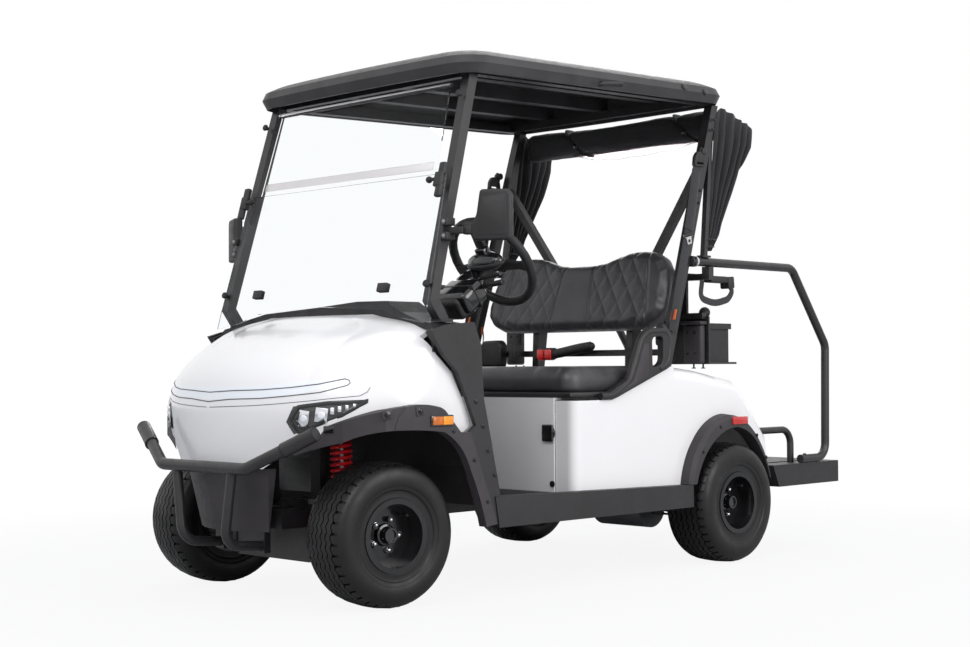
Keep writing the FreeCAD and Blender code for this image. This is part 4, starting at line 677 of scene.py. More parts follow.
class CART_OT_headlamps(CartOperator, bpy.types.Operator):
    """Dark bezels, bright reflectors and lamp cells in the five-sided headlamps"""
    bl_idname = "cart.headlamps"
    bl_label = "Headlamps"

    def make(self, size):
        skin = Skin("headlights")
        bezel, cells, bulbs = blanks(3)
        corners = spots((282, -236, 585), (304, -219, 632), (387, -153, 645), (488, -74, 649), (412, -134, 596),
                (303, -219, 545))
        middle = sum(corners, Vector()) / 6.0
        inner = [corner.lerp(middle, 0.075) for corner in corners]
        loop = skin.line(inner + inner[:1], 0.0008, 0.008)[:-1]
        swept(bezel, loop, 0.0062, 8, True, 0.45)
        fine = skin.line([corner.lerp(middle, 0.21) for corner in corners + corners[:1]], 0.0008, 0.008)[:-1]
        swept(bezel, fine, 0.0022, 6, True)
        dark = skin.line([at(318, -207, 640).lerp(middle, 0.1), at(300, -222, 590), at(322, -205, 560)], 0.001, 0.008)
        swept(bezel, dark, 0.006, 8, False, 0.5)
        for spot, across, tall in (((322, -204, 594), 0.034, 0.052), ((366, -170, 604), 0.040, 0.046)):
            place = skin.seat(at(*spot), 0.0016)
            cube(cells, (across, tall, 0.004), place @ spin(-0.15, "Z"), 0.0018)
            rod(bulbs, place @ Vector(), place @ Vector((0, 0, 0.0052)), 0.0125, 24, 0.010, 0.001)
        for index in range(4):
            spot = at(392, -148, 617).lerp(at(446, -104, 634), index / 3.0)
            place = skin.seat(spot, 0.0016)
            cube(cells, (0.013 - index * 0.0012, 0.021 - index * 0.0035, 0.0036), place, 0.0014)
            ball(bulbs, place @ Vector((0, 0, 0.0018)), 0.0038, 6)
        for shape, label, finish, slot in ((bezel, "bezels", "gloss_black", "trim_black"),
                (cells, "reflectors", "chrome", "lens"), (bulbs, "cells", "lamp_white", "strip")):
            build("headlamp_" + label, mirrored(shape), finish)
        NODES["headlights"].data.materials[0] = Finish.made["lamp_shell"]


class CART_OT_light_band(CartOperator, bpy.types.Operator):
    """Dark outlines of the light band and the seam under it"""
    bl_idname = "cart.light_band"
    bl_label = "Light band"

    def make(self, size):
        lines = bmesh.new()
        skin = Skin("front_cowl", "light_strip")
        low = [(0, -338, 646), (92, -318, 654), (206, -286, 657), (287, -232, 665), (362, -173, 675),
                (430, -118, 697)]
        high = [(0, -330, 676), (92, -308, 681), (200, -274, 684), (283, -222, 691), (352, -169, 701),
                (420, -120, 717)]
        tip = [(436, -112, 704), (432, -113, 713)]
        loop = skin.line(spots(*low, *tip, *high[::-1]), 0.0004)
        swept(lines, loop, 0.0017, 6)
        seam = [(0, -330, 628), (89, -318, 631), (193, -296, 635), (263, -249, 641), (337, -192, 649),
                (397, -145, 657), (461, -95, 664), (478, -78, 676), (484, -72, 690)]
        swept(lines, skin.line(spots(*seam), 0.0002), 0.0011, 6)
        build("light_band_seams", mirrored(lines), "seam_dark")


class CART_OT_flare_trim(CartOperator, bpy.types.Operator):
    """Bolt pads, bolts, seams and marker lamps on the wheel-arch flares"""
    bl_idname = "cart.flare_trim"
    bl_label = "Flare trim"

    def make(self, size):
        skin = Skin("front_flares", "rear_flares")
        pads, bolts, dark, amber, brown, red = blanks(6)
        for spot in ((580, -88, 607), (604, 26, 616)):
            place = skin.seat(at(*spot), 0.0006)
            cube(pads, (0.034, 0.030, 0.006), place @ spin(0.12, "Z"), 0.0035, 3)
            bolt(bolts, place @ rise(0.003), 0.0075, 0.005)
        for spot in ((604, 171, 550), (604, 262, 455), (604, 322, 318), (612, 1452, 430), (612, 1560, 520),
                (612, 1790, 480), (612, 1850, 392)):
            bolt(bolts, skin.seat(at(*spot), 0.0002), 0.0055, 0.003)
        plug = skin.seat(at(431, -194, 561), 0.0005)
        cube(dark, (0.036, 0.024, 0.004), plug, 0.004, 3)
        seam = skin.line(spots((604, -28, 634), (592, -50, 600), (586, -58, 570), (586, -60, 545)), 0.0003, 0.008)
        swept(dark, seam, 0.0014, 6)
        frame = skin.seat(at(604, 119, 584), 0.0)
        cube(dark, (0.098, 0.036, 0.010), frame, 0.004, 3)
        cube(amber, (0.044, 0.027, 0.010), frame @ shift((0.0225, 0, 0.0042)), 0.0035, 3)
        cube(brown, (0.042, 0.027, 0.010), frame @ shift((-0.0215, 0, 0.0042)), 0.0035, 3)
        rear = skin.seat(at(612, 1679, 541), 0.0)
        cube(red, (0.094, 0.030, 0.014), rear, 0.0045, 3)
        for shape, label, finish, slot in ((pads, "pads", "flare_grain", "flare_grey"),
                (bolts, "bolts", "rim_enamel", "steel"), (dark, "frames", "gloss_black", "trim_black"),
                (amber, "amber_lens", "lens_amber", "lens"), (brown, "amber_dark_lens", "lens_amber_dark", "lens"),
                (red, "red_marker", "lens_red", "lens")):
            build("flare_" + label, mirrored(shape), finish)


class CART_OT_guard_trim(CartOperator, bpy.types.Operator):
    """Sleeve ends and fixings of the bumper guard"""
    bl_idname = "cart.guard_trim"
    bl_label = "Guard trim"

    def make(self, size):
        shape, bolts = blanks(2)
        tip = at(468, -273, 553)
        run = (tip - at(235, -358, 440)).normalized()
        turn = run.to_track_quat("X", "Z").to_matrix().to_4x4()
        for reach, radius in ((-0.004, 0.0232), (-0.126, 0.0226)):
            ring = ((-0.004, radius - 0.004), (-0.0035, radius), (0.0035, radius), (0.004, radius - 0.004))
            revolved(shape, ring + ring[:1], shift(tip + run * reach) @ turn, 28)
        for z in (182.0, 262.0):
            bolt(bolts, facing(110, -214.4, z), 0.008, 0.006)
        build("guard_rings", mirrored(shape), "soft_rubber")
        build("guard_bolts", mirrored(bolts), "rim_enamel")


# ------------------------------------------------------- bag cover and bag stand

def cloth_grid(shape, spot, across, along):
    """A grid of faces through spot(u, v)."""
    rows = [[shape.verts.new(spot(u / across, v / along)) for u in range(across + 1)] for v in range(along + 1)]
    for low, high in zip(rows, rows[1:]):
        for index in range(across):
            shape.faces.new((low[index], low[index + 1], high[index + 1], high[index]))


def thicken(piece, depth):
    """Gives a sheet its thickness, half to each side."""
    skin = piece.modifiers.new("cloth", "SOLIDIFY")
    skin.thickness, skin.offset = depth, 0.0
    bake(piece)
    piece.data.shade_smooth()


def along_line(points, t):
    """A point part-way along a line of points, by length."""
    lengths = [(two - one).length for one, two in zip(points, points[1:])]
    goal = t * sum(lengths)
    for one, two, length in zip(points, points[1:], lengths):
        if goal <= length:
            return one.lerp(two, goal / length)
        goal -= length
    return points[-1].copy()


ROLL_STRAPS = (-0.222, 0.355)  # where the straps cross the roll's middle line
STRAP_LEAN = 0.9
FILM_FLAT, FILM_THICK = (0.70, 0.040), 0.0006
CURTAIN_FLAT, CURTAIN_AREA, CURTAIN_THICK = (0.42, 0.57), 0.168, 0.0022
CURTAIN_FRONT = spots((0, 1577, 1192), (0, 1614, 1440), (0, 1644, 1690), (0, 1662, 1742))
CURTAIN_REAR = spots((0, 1613, 1192), (0, 1664, 1256), (0, 1682, 1300), (0, 1742, 1402), (0, 1800, 1500),
        (0, 1858, 1612), (0, 1868, 1655), (0, 1880, 1690))
CURTAIN_TOP = spots((0, 1666, 1742), (0, 1695, 1754), (0, 1760, 1738), (0, 1830, 1714), (0, 1868, 1704),
        (0, 1880, 1690))
CURTAIN_HEAD = 0.86  # from here up a curtain bends towards its top line
CURTAIN_SPACE = (0.506, 0.553)  # least and most distance of a curtain from the cart's middle plane
FOLDS = 4.6


class CART_OT_cover_roll(CartOperator, bpy.types.Operator):
    """Rolled rain cover under the roof, with its creases, straps and clear film"""
    bl_idname = "cart.cover_roll"
    bl_label = "Rolled cover"

    def make(self, size):
        shape = bmesh.new()
        low, high = at(-500, 1662, 1636), at(500, 1754, 1751)
        cube(shape, high - low, shift((low + high) / 2), 0.030, 5)
        piece = stuffed("cover_roll", shape, size.voxel * 1.1, 0.006, ["bag_cover_roll"])
        piece.data.materials[0] = Finish.made["cover_cloth"]
        heart = (low + high) / 2
        for vert in piece.data.vertices:
            across = vert.co.x
            out = Vector((0.0, vert.co.y - heart.y, vert.co.z - heart.z))
            angle = atan2(out.z, out.y)
            push = 0.0032 * noise.noise(Vector((across * 7.0, angle * 1.7, 3.0))) + 0.0022 * sin(angle * 3.0
                    + across * 9.0)
            push += 0.0012 * noise.noise(Vector((across * 26.0, angle * 5.0, 8.0)))
            for strap in ROLL_STRAPS:
                lean = strap - (vert.co.z - heart.z) * STRAP_LEAN
                push -= 0.007 * exp(-((across - lean) / 0.020) ** 2)
            vert.co += out.normalized() * push
            vert.co.y = max(low.y - 0.006, min(high.y + 0.006, vert.co.y))
        straps, buckles = blanks(2)
        for strap in ROLL_STRAPS:
            loop = []
            for step in range(48):
                angle = tau * step / 48
                y = copysign(0.0445 * abs(cos(angle)) ** 0.62, cos(angle))
                z = copysign(0.0560 * abs(sin(angle)) ** 0.62, sin(angle))
                loop.append(Vector((strap - z * STRAP_LEAN, heart.y + y, heart.z + z)))
            swept(straps, loop, 0.010, 8, True, 0.20, LEFT)
            cube(buckles, (0.026, 0.007, 0.020), shift((strap + 0.014, heart.y - 0.0465, heart.z - 0.018)), 0.002)
        build("cover_roll_straps", straps, "belt_web")
        build("cover_roll_buckles", buckles, "gloss_black")
        film = bmesh.new()

        def spot(u, v):
            across = -0.235 + 0.69 * u
            sag = 0.054 * sin(pi * min(1.0, max(0.0, u * 0.92 + 0.05))) ** 0.7 * (1.0 - 0.25 * u)
            return Vector((across, at(0, 1690, 0).y + 0.010 * sin(u * 9.0) * v - 0.004 * sin(pi * v),
                    1.652 - sag * v + 0.002 * sin(u * 31.0) * v))

        cloth_grid(film, spot, 60, 8)
        piece = build("cover_film", film, "cover_film", closed=False)
        thicken(piece, FILM_THICK)


class CART_OT_cover_sides(CartOperator, bpy.types.Operator):
    """Gathered side curtains of the bag cover, pulled together at the rail"""
    bl_idname = "cart.cover_sides"
    bl_label = "Side curtains"

    def make(self, size):
        for side, sign in SIDES:
            shape = bmesh.new()

            def spot(u, v, sign=sign):
                flat = along_line(CURTAIN_FRONT, v).lerp(along_line(CURTAIN_REAR, v), u)
                above = max(0.0, (v - CURTAIN_HEAD) / (1.0 - CURTAIN_HEAD))
                if above:
                    flat = flat.lerp(along_line(CURTAIN_TOP, u), above ** 1.6)
                phase = 1.5 * noise.noise(Vector((u * 2.6, v * 2.4, 4.0 + sign))) + 1.1 * v * u
                uneven = 0.75 + 0.5 * noise.noise(Vector((u * 3.3, v * 1.2, 7.0)))
                depth = 0.006 + 0.0135 * min(1.0, v * 1.6) * uneven
                depth *= 1.0 - 0.7 * above
                swing = tau * FOLDS * u + phase * 2.0
                wave = sin(swing)
                wave = copysign(abs(wave) ** 0.75, wave)
                small = noise.noise(Vector((u * 9.0, v * 6.0, 11.0))) * 0.0035 * v
                bunch = 0.010 * exp(-((u - 0.93) / 0.1) ** 2) * exp(-((v - 0.9) / 0.12) ** 2)
                out = 0.5285 + wave * depth + small + bunch
                out += (0.532 - out) * max(0.0, 1.0 - u / 0.07)
                flat.x = sign * min(CURTAIN_SPACE[1], max(CURTAIN_SPACE[0], out))
                flat.y += 0.0035 * cos(swing) * min(1.0, v * 1.5) * (0.5 - abs(u - 0.5)) * 2.0
                return flat

            cloth_grid(shape, spot, 110, 64)
            piece = build("cover_curtain_" + side, shape, "cover_cloth", stands_for=["bag_cover_sides"],
                    smooth=0)
            thicken(piece, CURTAIN_THICK)
        ties = bmesh.new()
        for _, sign in SIDES:
            for z, radius in ((1207, 0.0225), (1235, 0.0245)):
                run = [at(sign * (529 + 1000 * radius * cos(tau * step / 24)),
                        1597 + (z - 1192) * 0.2 + 1000 * (radius - 0.003) * sin(tau * step / 24), z)
                        for step in range(24)]
                swept(ties, run, 0.0045, 6, True, 0.5, UP)
        build("cover_ties", ties, "belt_web")


STRAP_X, CASE_X, HOOP_X, BELT_X = 520, 478, 535, 549  # distances from the cart's middle plane, in mm


class CART_OT_bag_stand(CartOperator, bpy.types.Operator):
    """Bag straps, clamp blocks, bottle-box lid rims, bracket bolts and adjuster feet"""
    bl_idname = "cart.bag_stand"
    bl_label = "Bag stand"

    def make(self, size):
        webs, blocks, bolts, feet, cases = blanks(5)
        for _, sign in SIDES:
            strap = ((1572, 1078), (1558, 1010), (1650, 990), (1738, 1010), (1764, 1040), (1752, 1062), (1712, 1074))
            loop = arc_points([at(sign * STRAP_X, *spot) for spot in strap], 0.05)
            swept(webs, loop, 0.014, 10, False, 0.13, LEFT)
            cube(blocks, (0.040, 0.110, 0.026), put(sign * STRAP_X, 1660, 1084), 0.006, 3)
            cube(blocks, (0.046, 0.038, 0.046), put(sign * STRAP_X, 1732, 1074) @ spin(0.1, "X"), 0.006, 3)
            cube(cases, (0.088, 0.030, 0.150), put(sign * CASE_X, 1574, 834), 0.010, 3)
            cube(cases, (0.100, 0.044, 0.014), put(sign * CASE_X, 1571, 915), 0.005)
            for x in (455, 500):
                rod(feet, at(sign * x, 1600, 757), at(sign * x, 1600, 742), 0.0035, 10)
                rod(feet, at(sign * x, 1600, 744), at(sign * x, 1600, 740), 0.0085, 16, None, 0.001)
            for z in (800, 880):
                for x in (455, 492):
                    bolt(bolts, facing(sign * x, 1559, z), 0.0045, 0.003)
        for x in (-330, -110, 110, 330):
            bolt(bolts, facing(x, 1590, 1010), 0.007, 0.005)
        build("bag_straps", webs, "belt_web")
        build("bottle_case_fronts", cases, "flare_grain")
        build("bag_blocks", blocks, "trim_grain")
        build("bag_bolts", bolts, "rim_enamel")
        build("bag_feet", feet, "rim_enamel")


class CART_OT_hoop_trim(CartOperator, bpy.types.Operator):
    """Collars and end caps of the rear hoops, the caps' pale grey being a painted highlight on the tube ends, and the
    bolts of hoops, platform and rear posts
    """
    bl_idname = "cart.hoop_trim"
    bl_label = "Hoop trim"

    def make(self, size):
        collars, bolts, caps = blanks(3)
        for _, sign in SIDES:
            rod(collars, at(sign * HOOP_X, 1479, 1147), at(sign * HOOP_X, 1502, 1147), 0.0212, 32, None, 0.002)
            # end caps in pale grey, a painted highlight on the tube ends
            rod(caps, at(sign * HOOP_X, 1503, 1147), at(sign * HOOP_X, 1514, 1147), 0.0196, 32, None, 0.0015)
            for z in (1136, 1158):
                bolt(bolts, frame_of(at(sign * 553, 1490, z), BACK, UP), 0.0048, 0.004)
            for y in (2232, 2345):
                bolt(bolts, frame_of(at(sign * HOOP_X, y, 384), LEFT, BACK), 0.006, 0.004)
            for y, z in ((1528, 1372), (1540, 1420), (1618, 1660), (1630, 1700)):
                bolt(bolts, frame_of(at(sign * 540, y, z), BACK, Vector((0, 0, sign))), 0.0048, 0.004)
        build("hoop_collars", collars, "frame_coat")
        build("hoop_caps", caps, "cap_highlight_grey")
        build("hoop_bolts", bolts, "rim_enamel")


# ----------------------------------------------------------------- bench seat

BACK_LEAN = radians(17.0)
BACK_FOOT = at(0, 1448, 866)
BACK_UP = Vector((0.0, sin(BACK_LEAN), cos(BACK_LEAN)))
BACK_OUT = Vector((0.0, -cos(BACK_LEAN), sin(BACK_LEAN)))


def stuffed(name, shape, voxel, rise, stands_for=()):
    """Remeshes a closed start shape, blows it up a little and smooths it."""
    piece = build(name, shape, "seat_hide", stands_for=stands_for)
    remesh = piece.modifiers.new("even mesh", "REMESH")
    remesh.mode, remesh.voxel_size = "VOXEL", voxel
    bake(piece)
    rest = [vert.co.copy() for vert in piece.data.vertices]
    cloth = piece.modifiers.new("stuffing", "CLOTH")
    settings = cloth.settings
    settings.quality = 4
    settings.mass = 0.3
    settings.use_pressure = True
    settings.uniform_pressure_force = 4.0
    settings.tension_stiffness = settings.compression_stiffness = 18.0
    settings.bending_stiffness = 0.6
    settings.effector_weights.gravity = 0.0
    cloth.point_cache.frame_start, cloth.point_cache.frame_end = 1, 20
    for moment in range(1, 21):
        bpy.context.scene.frame_set(moment)
    bake(piece)
    bpy.context.scene.frame_set(1)
    for vert, start in zip(piece.data.vertices, rest):
        move = vert.co - start
        if move.length > rise:
            vert.co = start + move.normalized() * rise
    shape = bmesh.new()
    shape.from_mesh(piece.data)
    for _ in range(4):
        bmesh.ops.smooth_vert(shape, verts=shape.verts, factor=0.5, use_axis_x=True, use_axis_y=True, use_axis_z=True)
    shape.to_mesh(piece.data)
    shape.free()
    finer = piece.modifiers.new("finer", "SUBSURF")
    finer.levels = finer.render_levels = 1
    bake(piece)
    piece.data.shade_smooth()
    return piece


def quilt(across, along, size):
    """How far a point sinks between sewn diamonds, from 0 at a seam's middle line outwards."""
    width, height = size.quilt_width, size.quilt_height
    gap = 1.0 / hypot(1.0 / width, 1.0 / height)
    near = min(abs(value - round(value)) for value in (across / width + along / height,
            across / width - along / height)) * gap
    return -size.seam_depth * max(0.0, 1.0 - sqrt(near / 0.021)) if near < 0.021 else 0.0


def channel(distance, size):
    """A sewn groove along a line."""
    return -size.seam_depth * 1.1 * exp(-(distance / 0.0045) ** 2)


BACK_HALF = [  # the backrest's outline, from the middle of the foot to the middle of the head
    (0.0, 0.004), (0.30, 0.004), (0.385, 0.010), (0.44, 0.034), (0.474, 0.072), (0.481, 0.115), (0.476, 0.19),
    (0.46, 0.252), (0.425, 0.300), (0.37, 0.329), (0.305, 0.338), (0.245, 0.335), (0.19, 0.322), (0.13, 0.302),
    (0.07, 0.293), (0.0, 0.292),
]
BACK_SEAMS = ((0.104, 0.03), (0.398, 0.05))  # each seam's distance at the foot, and what it loses over 0.3 m


class CART_OT_backrest(CartOperator, bpy.types.Operator):
    """Bench backrest with two humps, quilted panels and plain side bolsters"""
    bl_idname = "cart.backrest"
    bl_label = "Backrest"

    def make(self, size):
        loop = BACK_HALF + [(-x, up) for x, up in BACK_HALF[-2:0:-1]]
        shape = bmesh.new()
        verts = [shape.verts.new(BACK_FOOT + Vector((x, 0, 0)) + BACK_UP * up + BACK_OUT * 0.006) for x, up in loop]
        face = shape.faces.new(verts)
        grown = bmesh.ops.extrude_face_region(shape, geom=[face])["geom"]
        moved = [item for item in grown if isinstance(item, bmesh.types.BMVert)]
        bmesh.ops.translate(shape, verts=moved, vec=BACK_OUT * 0.070)
        bmesh.ops.recalc_face_normals(shape, faces=shape.faces)
        rims = [edge for edge in shape.edges if len(edge.link_faces) == 2 and edge.calc_face_angle() > 1.0]
        rounded(shape, rims, 0.027, 4)
        piece = stuffed("backrest_cover", shape, size.voxel, size.stuffing_rise * 0.6, ["seat_back"])
        for vert in piece.data.vertices:
            local = vert.co - BACK_FOOT
            across, up, out = local.x, local.dot(BACK_UP), local.dot(BACK_OUT)
            if out < 0.045:
                continue
            facing = min(1.0, (out - 0.045) / 0.018)
            centre, outer = (abs(across) - (base - lean * (up / 0.3)) for base, lean in BACK_SEAMS)
            push = 0.0
            if centre > 0 and outer < 0:
                fade = min(1.0, centre / 0.006, -outer / 0.006)
                push += quilt(across, up * cos(BACK_LEAN), size) * fade
            elif outer > 0:
                push += 0.006 * min(1.0, outer / 0.02)
            push += min(channel(centre, size), channel(outer, size))
            if up < 0.05 and abs(across) < 0.05:
                push -= 0.008 * (1.0 - up / 0.05) * (1.0 - abs(across) / 0.05)
            vert.co += BACK_OUT * (push * facing)
        threads = bmesh.new()
        for sign in (1.0, -1.0):
            for (base, lean), offset in zip(BACK_SEAMS, (0.004, -0.004)):
                self.stitches(threads, sign, base + offset, lean)
        build("backrest_stitches", threads, "seat_thread")

    def stitches(self, threads, sign, base, lean):
        for step in range(39):
            up = 0.02 + step * 0.006
            spot = BACK_FOOT + Vector((sign * (base - lean * (up / 0.3)), 0, 0)) + BACK_UP * up + BACK_OUT * 0.080
            rod(threads, spot - BACK_UP * 0.0019, spot + BACK_UP * 0.0019, 0.0006, 5)


class CART_OT_bench(CartOperator, bpy.types.Operator):
    """Bench cushion with a smooth front roll, quilted top and a dark tray under it"""
    bl_idname = "cart.bench"
    bl_label = "Bench cushion"

    def make(self, size):
        shape = bmesh.new()
        low, high = at(-531, 800, 660), at(531, 1256, 741)
        cube(shape, high - low, shift((low + high) / 2))
        upright = [edge for edge in shape.edges if abs((edge.verts[0].co - edge.verts[1].co).z) > 0.01]
        rounded(shape, upright, 0.062, 6)
        top = [edge for edge in shape.edges if all(vert.co.z > high.z - 0.001 for vert in edge.verts)]
        rounded(shape, top, 0.040, 5)
        foot = [edge for edge in shape.edges if all(vert.co.z < low.z + 0.001 for vert in edge.verts)]
        rounded(shape, foot, 0.012, 3)
        piece = stuffed("bench_cover", shape, size.voxel * 1.2, size.stuffing_rise, ["seat_cushion"])
        front, rear = at(0, 1000, 0).y, at(0, 1240, 0).y
        crown, floor = at(0, 0, 752.5).z, at(0, 0, 657).z
        for vert in piece.data.vertices:
            across, y, z = vert.co.x, vert.co.y, vert.co.z
            if z > 0.715:
                facing = min(1.0, (z - 0.715) / 0.012)
                reach = y - front - 0.012 * cos(across * 9.0)
                side = abs(across) - 0.372
                push = -0.0035 * max(0.0, 1.0 - abs(across) / 0.1) + 0.003 * exp(-((abs(across) - 0.27) / 0.12) ** 2)
                if reach > 0 and side < 0 and y < rear:
                    fade = min(1.0, reach / 0.01, -side / 0.008, (rear - y) / 0.01)
                    if abs(across) > 0.1:
                        push += quilt(across, (y - front) * 1.15, size) * fade
                if side < 0.03:
                    push += channel(reach, size)
                if reach > 0:
                    push += channel(side, size)
                    push += channel(abs(across) - 0.1, size)
                vert.co.z += push * facing
            vert.co.z = max(floor, min(crown, vert.co.z))
        tray = bmesh.new()
        cube(tray, (1.078, 0.470, 0.018), put(0, 1027, 652), 0.006)
        build("bench_tray", tray, "trim_grain")


# ------------------------------------------------------------- cab and seat belts

def pebble(shape, corners, place, thickness, radius, bend=0.012, segments=4, holes=()):
    """A moulded block: an outline in the XY plane of a matrix, grown along its Z and rounded all round."""
    made = bmesh.new()
    edges = []
    for outline in (corners, *holes):
        flat = [Vector((x / 1000.0, y / 1000.0, 0.0)) for x, y in outline]
        start = (flat[0] + flat[-1]) / 2
        loop = arc_points([start, *flat, start], bend, 4)[:-1]
        verts = [made.verts.new(point) for point in loop]
        edges += [made.edges.new((one, two)) for one, two in zip(verts, verts[1:] + verts[:1])]
    bmesh.ops.triangle_fill(made, use_beauty=True, use_dissolve=True, edges=edges)
    grown = bmesh.ops.extrude_face_region(made, geom=made.faces[:])["geom"]
    bmesh.ops.translate(made, verts=[item for item in grown if isinstance(item, bmesh.types.BMVert)],
            vec=(0, 0, thickness))
    bmesh.ops.recalc_face_normals(made, faces=made.faces)
    rims = [edge for edge in made.edges if len(edge.link_faces) == 2 and edge.calc_face_angle() > 1.2]
    rounded(made, rims, radius, segments)
    bmesh.ops.transform(made, verts=made.verts, matrix=place)
    mesh = bpy.data.meshes.new("pebble")
    made.to_mesh(mesh)
    made.free()
    shape.from_mesh(mesh)
    bpy.data.meshes.remove(mesh)


def upright(x, y, z, turn=0.0):
    """A matrix facing forward: X to the left side, Y up, Z out of the front, turned about the vertical."""
    return put(x, y, z) @ spin(radians(turn), "Z") @ spin(radians(90), "X")


class CART_OT_mirrors(CartOperator, bpy.types.Operator):
    """Stepped mirror housings, two-link arms, clamps and glass"""
    bl_idname = "cart.mirrors"
    bl_label = "Mirrors"

    def make(self, size):
        shell, glass, arms, bolts = blanks(4)
        outline = ((-34, 83), (61, 81), (72, 66), (73, -82), (-58, -80), (-66, -58), (-95, -55), (-94, -20),
                (-56, -17), (-46, 3))
        place = upright(678, 268, 1234, 24.0)
        pebble(shell, outline, place @ rise(-0.017), 0.034, 0.012)
        panel = ((-30, 58), (58, 66), (60, -66), (-48, -66), (-38, 10))
        pebble(shell, panel, place @ rise(0.010), 0.0085, 0.003, 0.01, 2)
        pebble(glass, ((-34, 74), (66, 72), (68, -74), (-50, -72), (-38, 8)), place @ rise(-0.0185), 0.003, 0.001,
                0.012, 2)
        swept(shell, [place @ Vector((0.066, y / 1000.0, 0.006)) for y in range(-70, 71, 10)], 0.0035, 8)
        cube(arms, (0.052, 0.020, 0.022), put(586, 206, 1187) @ spin(0.3, "Z"), 0.004, 3)
        cube(arms, (0.030, 0.030, 0.028), put(612, 232, 1188) @ spin(0.42, "Z"), 0.004, 3)
        cube(arms, (0.023, 0.042, 0.026), put(561.5, 192, 1216), 0.004, 3)
        cube(arms, (0.023, 0.042, 0.026), put(561.5, 192, 1170), 0.004, 3)
        for z in (1216, 1170):
            bolt(bolts, facing(561, 171, z), 0.0052, 0.004)
        rod(bolts, at(611, 231, 1201), at(611, 231, 1207), 0.006, 6, None, 0.001)
        build("mirror_housings", mirrored(shell), "trim_grain", stands_for=["mirrors"])
        build("mirror_glass", mirrored(glass), "mirror_glass")
        build("mirror_arms", mirrored(arms), "trim_grain")
        build("mirror_bolts", mirrored(bolts), "dull_steel")


class CART_OT_steering(CartOperator, bpy.types.Operator):
    """Thick steering wheel with moulded spokes, and the column's shrouds, stalks and display"""
    bl_idname = "cart.steering"
    bl_label = "Steering"

    def make(self, size):
        hub = Vector(JOINTS["steering_turn"]["pos_m"])
        axis = Vector(JOINTS["steering_turn"]["axis"])
        place = frame_of(hub, LEFT, axis.cross(LEFT))
        wheel = bmesh.new()
        spokes = [vert.co - hub for vert in NODES["steering_wheel"].data.vertices]
        reach = max((spot - axis * spot.dot(axis)).length for spot in spokes)
        angles = [tau * step / 96 for step in range(96)]
        rim = [place @ Vector(((reach - 0.0165) * cos(angle), (reach - 0.0165) * sin(angle), 0.0))
                for angle in angles]
        swept(wheel, rim, [0.0158 + 0.0008 * abs(sin(angle * 16)) for angle in angles], 16, True)
        pebble(wheel, ((-62, 30), (62, 30), (54, -34), (20, -56), (-20, -56), (-54, -34)), place @ rise(-0.020),
                0.030, 0.010, 0.018)
        for angle, wide in ((0.10, 40), (pi - 0.10, 40), (-pi / 2, 44)):
            turned = place @ spin(angle, "Z") @ rise(-0.019)
            far = reach * 1000 - 20
            pebble(wheel, ((30, -wide * 0.62), (far - 30, -wide * 0.36), (far, -wide * 0.55), (far, wide * 0.55),
                    (far - 30, wide * 0.36), (30, wide * 0.62)), turned, 0.017, 0.0055, 0.012, 3)
        rod(wheel, hub - axis * 0.020, hub - axis * 0.075, 0.026, 28, 0.034, 0.002)
        rod(wheel, hub - axis * 0.070, hub - axis * 0.095, 0.010, 16)
        build("steering_wheel_grip", wheel, "soft_rubber", "steering_wheel", ["steering_wheel"], 50.0)

        down = -axis
        shroud, ribs, stalks = blanks(3)
        base = hub + down * 0.100
        tube = [(0.0, 0.030), (0.004, 0.040), (0.030, 0.046), (0.062, 0.047), (0.085, 0.040), (0.100, 0.031)]
        turn = shift(base) @ down.to_track_quat("X", "Z").to_matrix().to_4x4()
        revolved(shroud, tube, turn, 40)
        low = hub + down * 0.216 + LEFT * 0.022
        case = frame_of(low, LEFT, down.cross(LEFT))
        cube(shroud, (0.154, 0.088, 0.124), case, 0.026, 4)
        cube(ribs, (0.158, 0.092, 0.008), case, 0.004)
        for sign in (1.0, -1.0):
            start = hub + down * 0.165 + LEFT * (sign * 0.040)
            stop = start + LEFT * (sign * 0.150) + Vector((0, -0.006, 0.016))
            rod(stalks, start, start.lerp(stop, 0.25), 0.014, 16, 0.010, 0.001)
            rod(stalks, start.lerp(stop, 0.2), stop, 0.0065, 12)
            rod(stalks, start.lerp(stop, 0.62), stop, 0.0095, 16, 0.0105, 0.002)
            for step in range(4):
                spot = start.lerp(stop, 0.30 + step * 0.07)
                rod(stalks, spot, spot + LEFT * (sign * 0.004), 0.0105, 16)
        dial = upright(322, 598, 1118) @ spin(0.5, "X")
        bmesh.ops.create_uvsphere(shroud, u_segments=40, v_segments=20, radius=1.0,
                matrix=dial @ Matrix.Diagonal((0.080, 0.034, 0.040, 1.0)))
        cube(shroud, (0.044, 0.028, 0.034), dial @ shift((0.004, 0.040, 0.0)), 0.005)
        bmesh.ops.create_uvsphere(ribs, u_segments=40, v_segments=16, radius=1.0,
                matrix=dial @ shift((0, -0.006, 0)) @ Matrix.Diagonal((0.086, 0.020, 0.046, 1.0)))
        build("column_shrouds", shroud, "gloss_black", smooth=50.0)
        build("column_bellows", ribs, "soft_rubber")
        build("column_stalks", stalks, "soft_rubber")


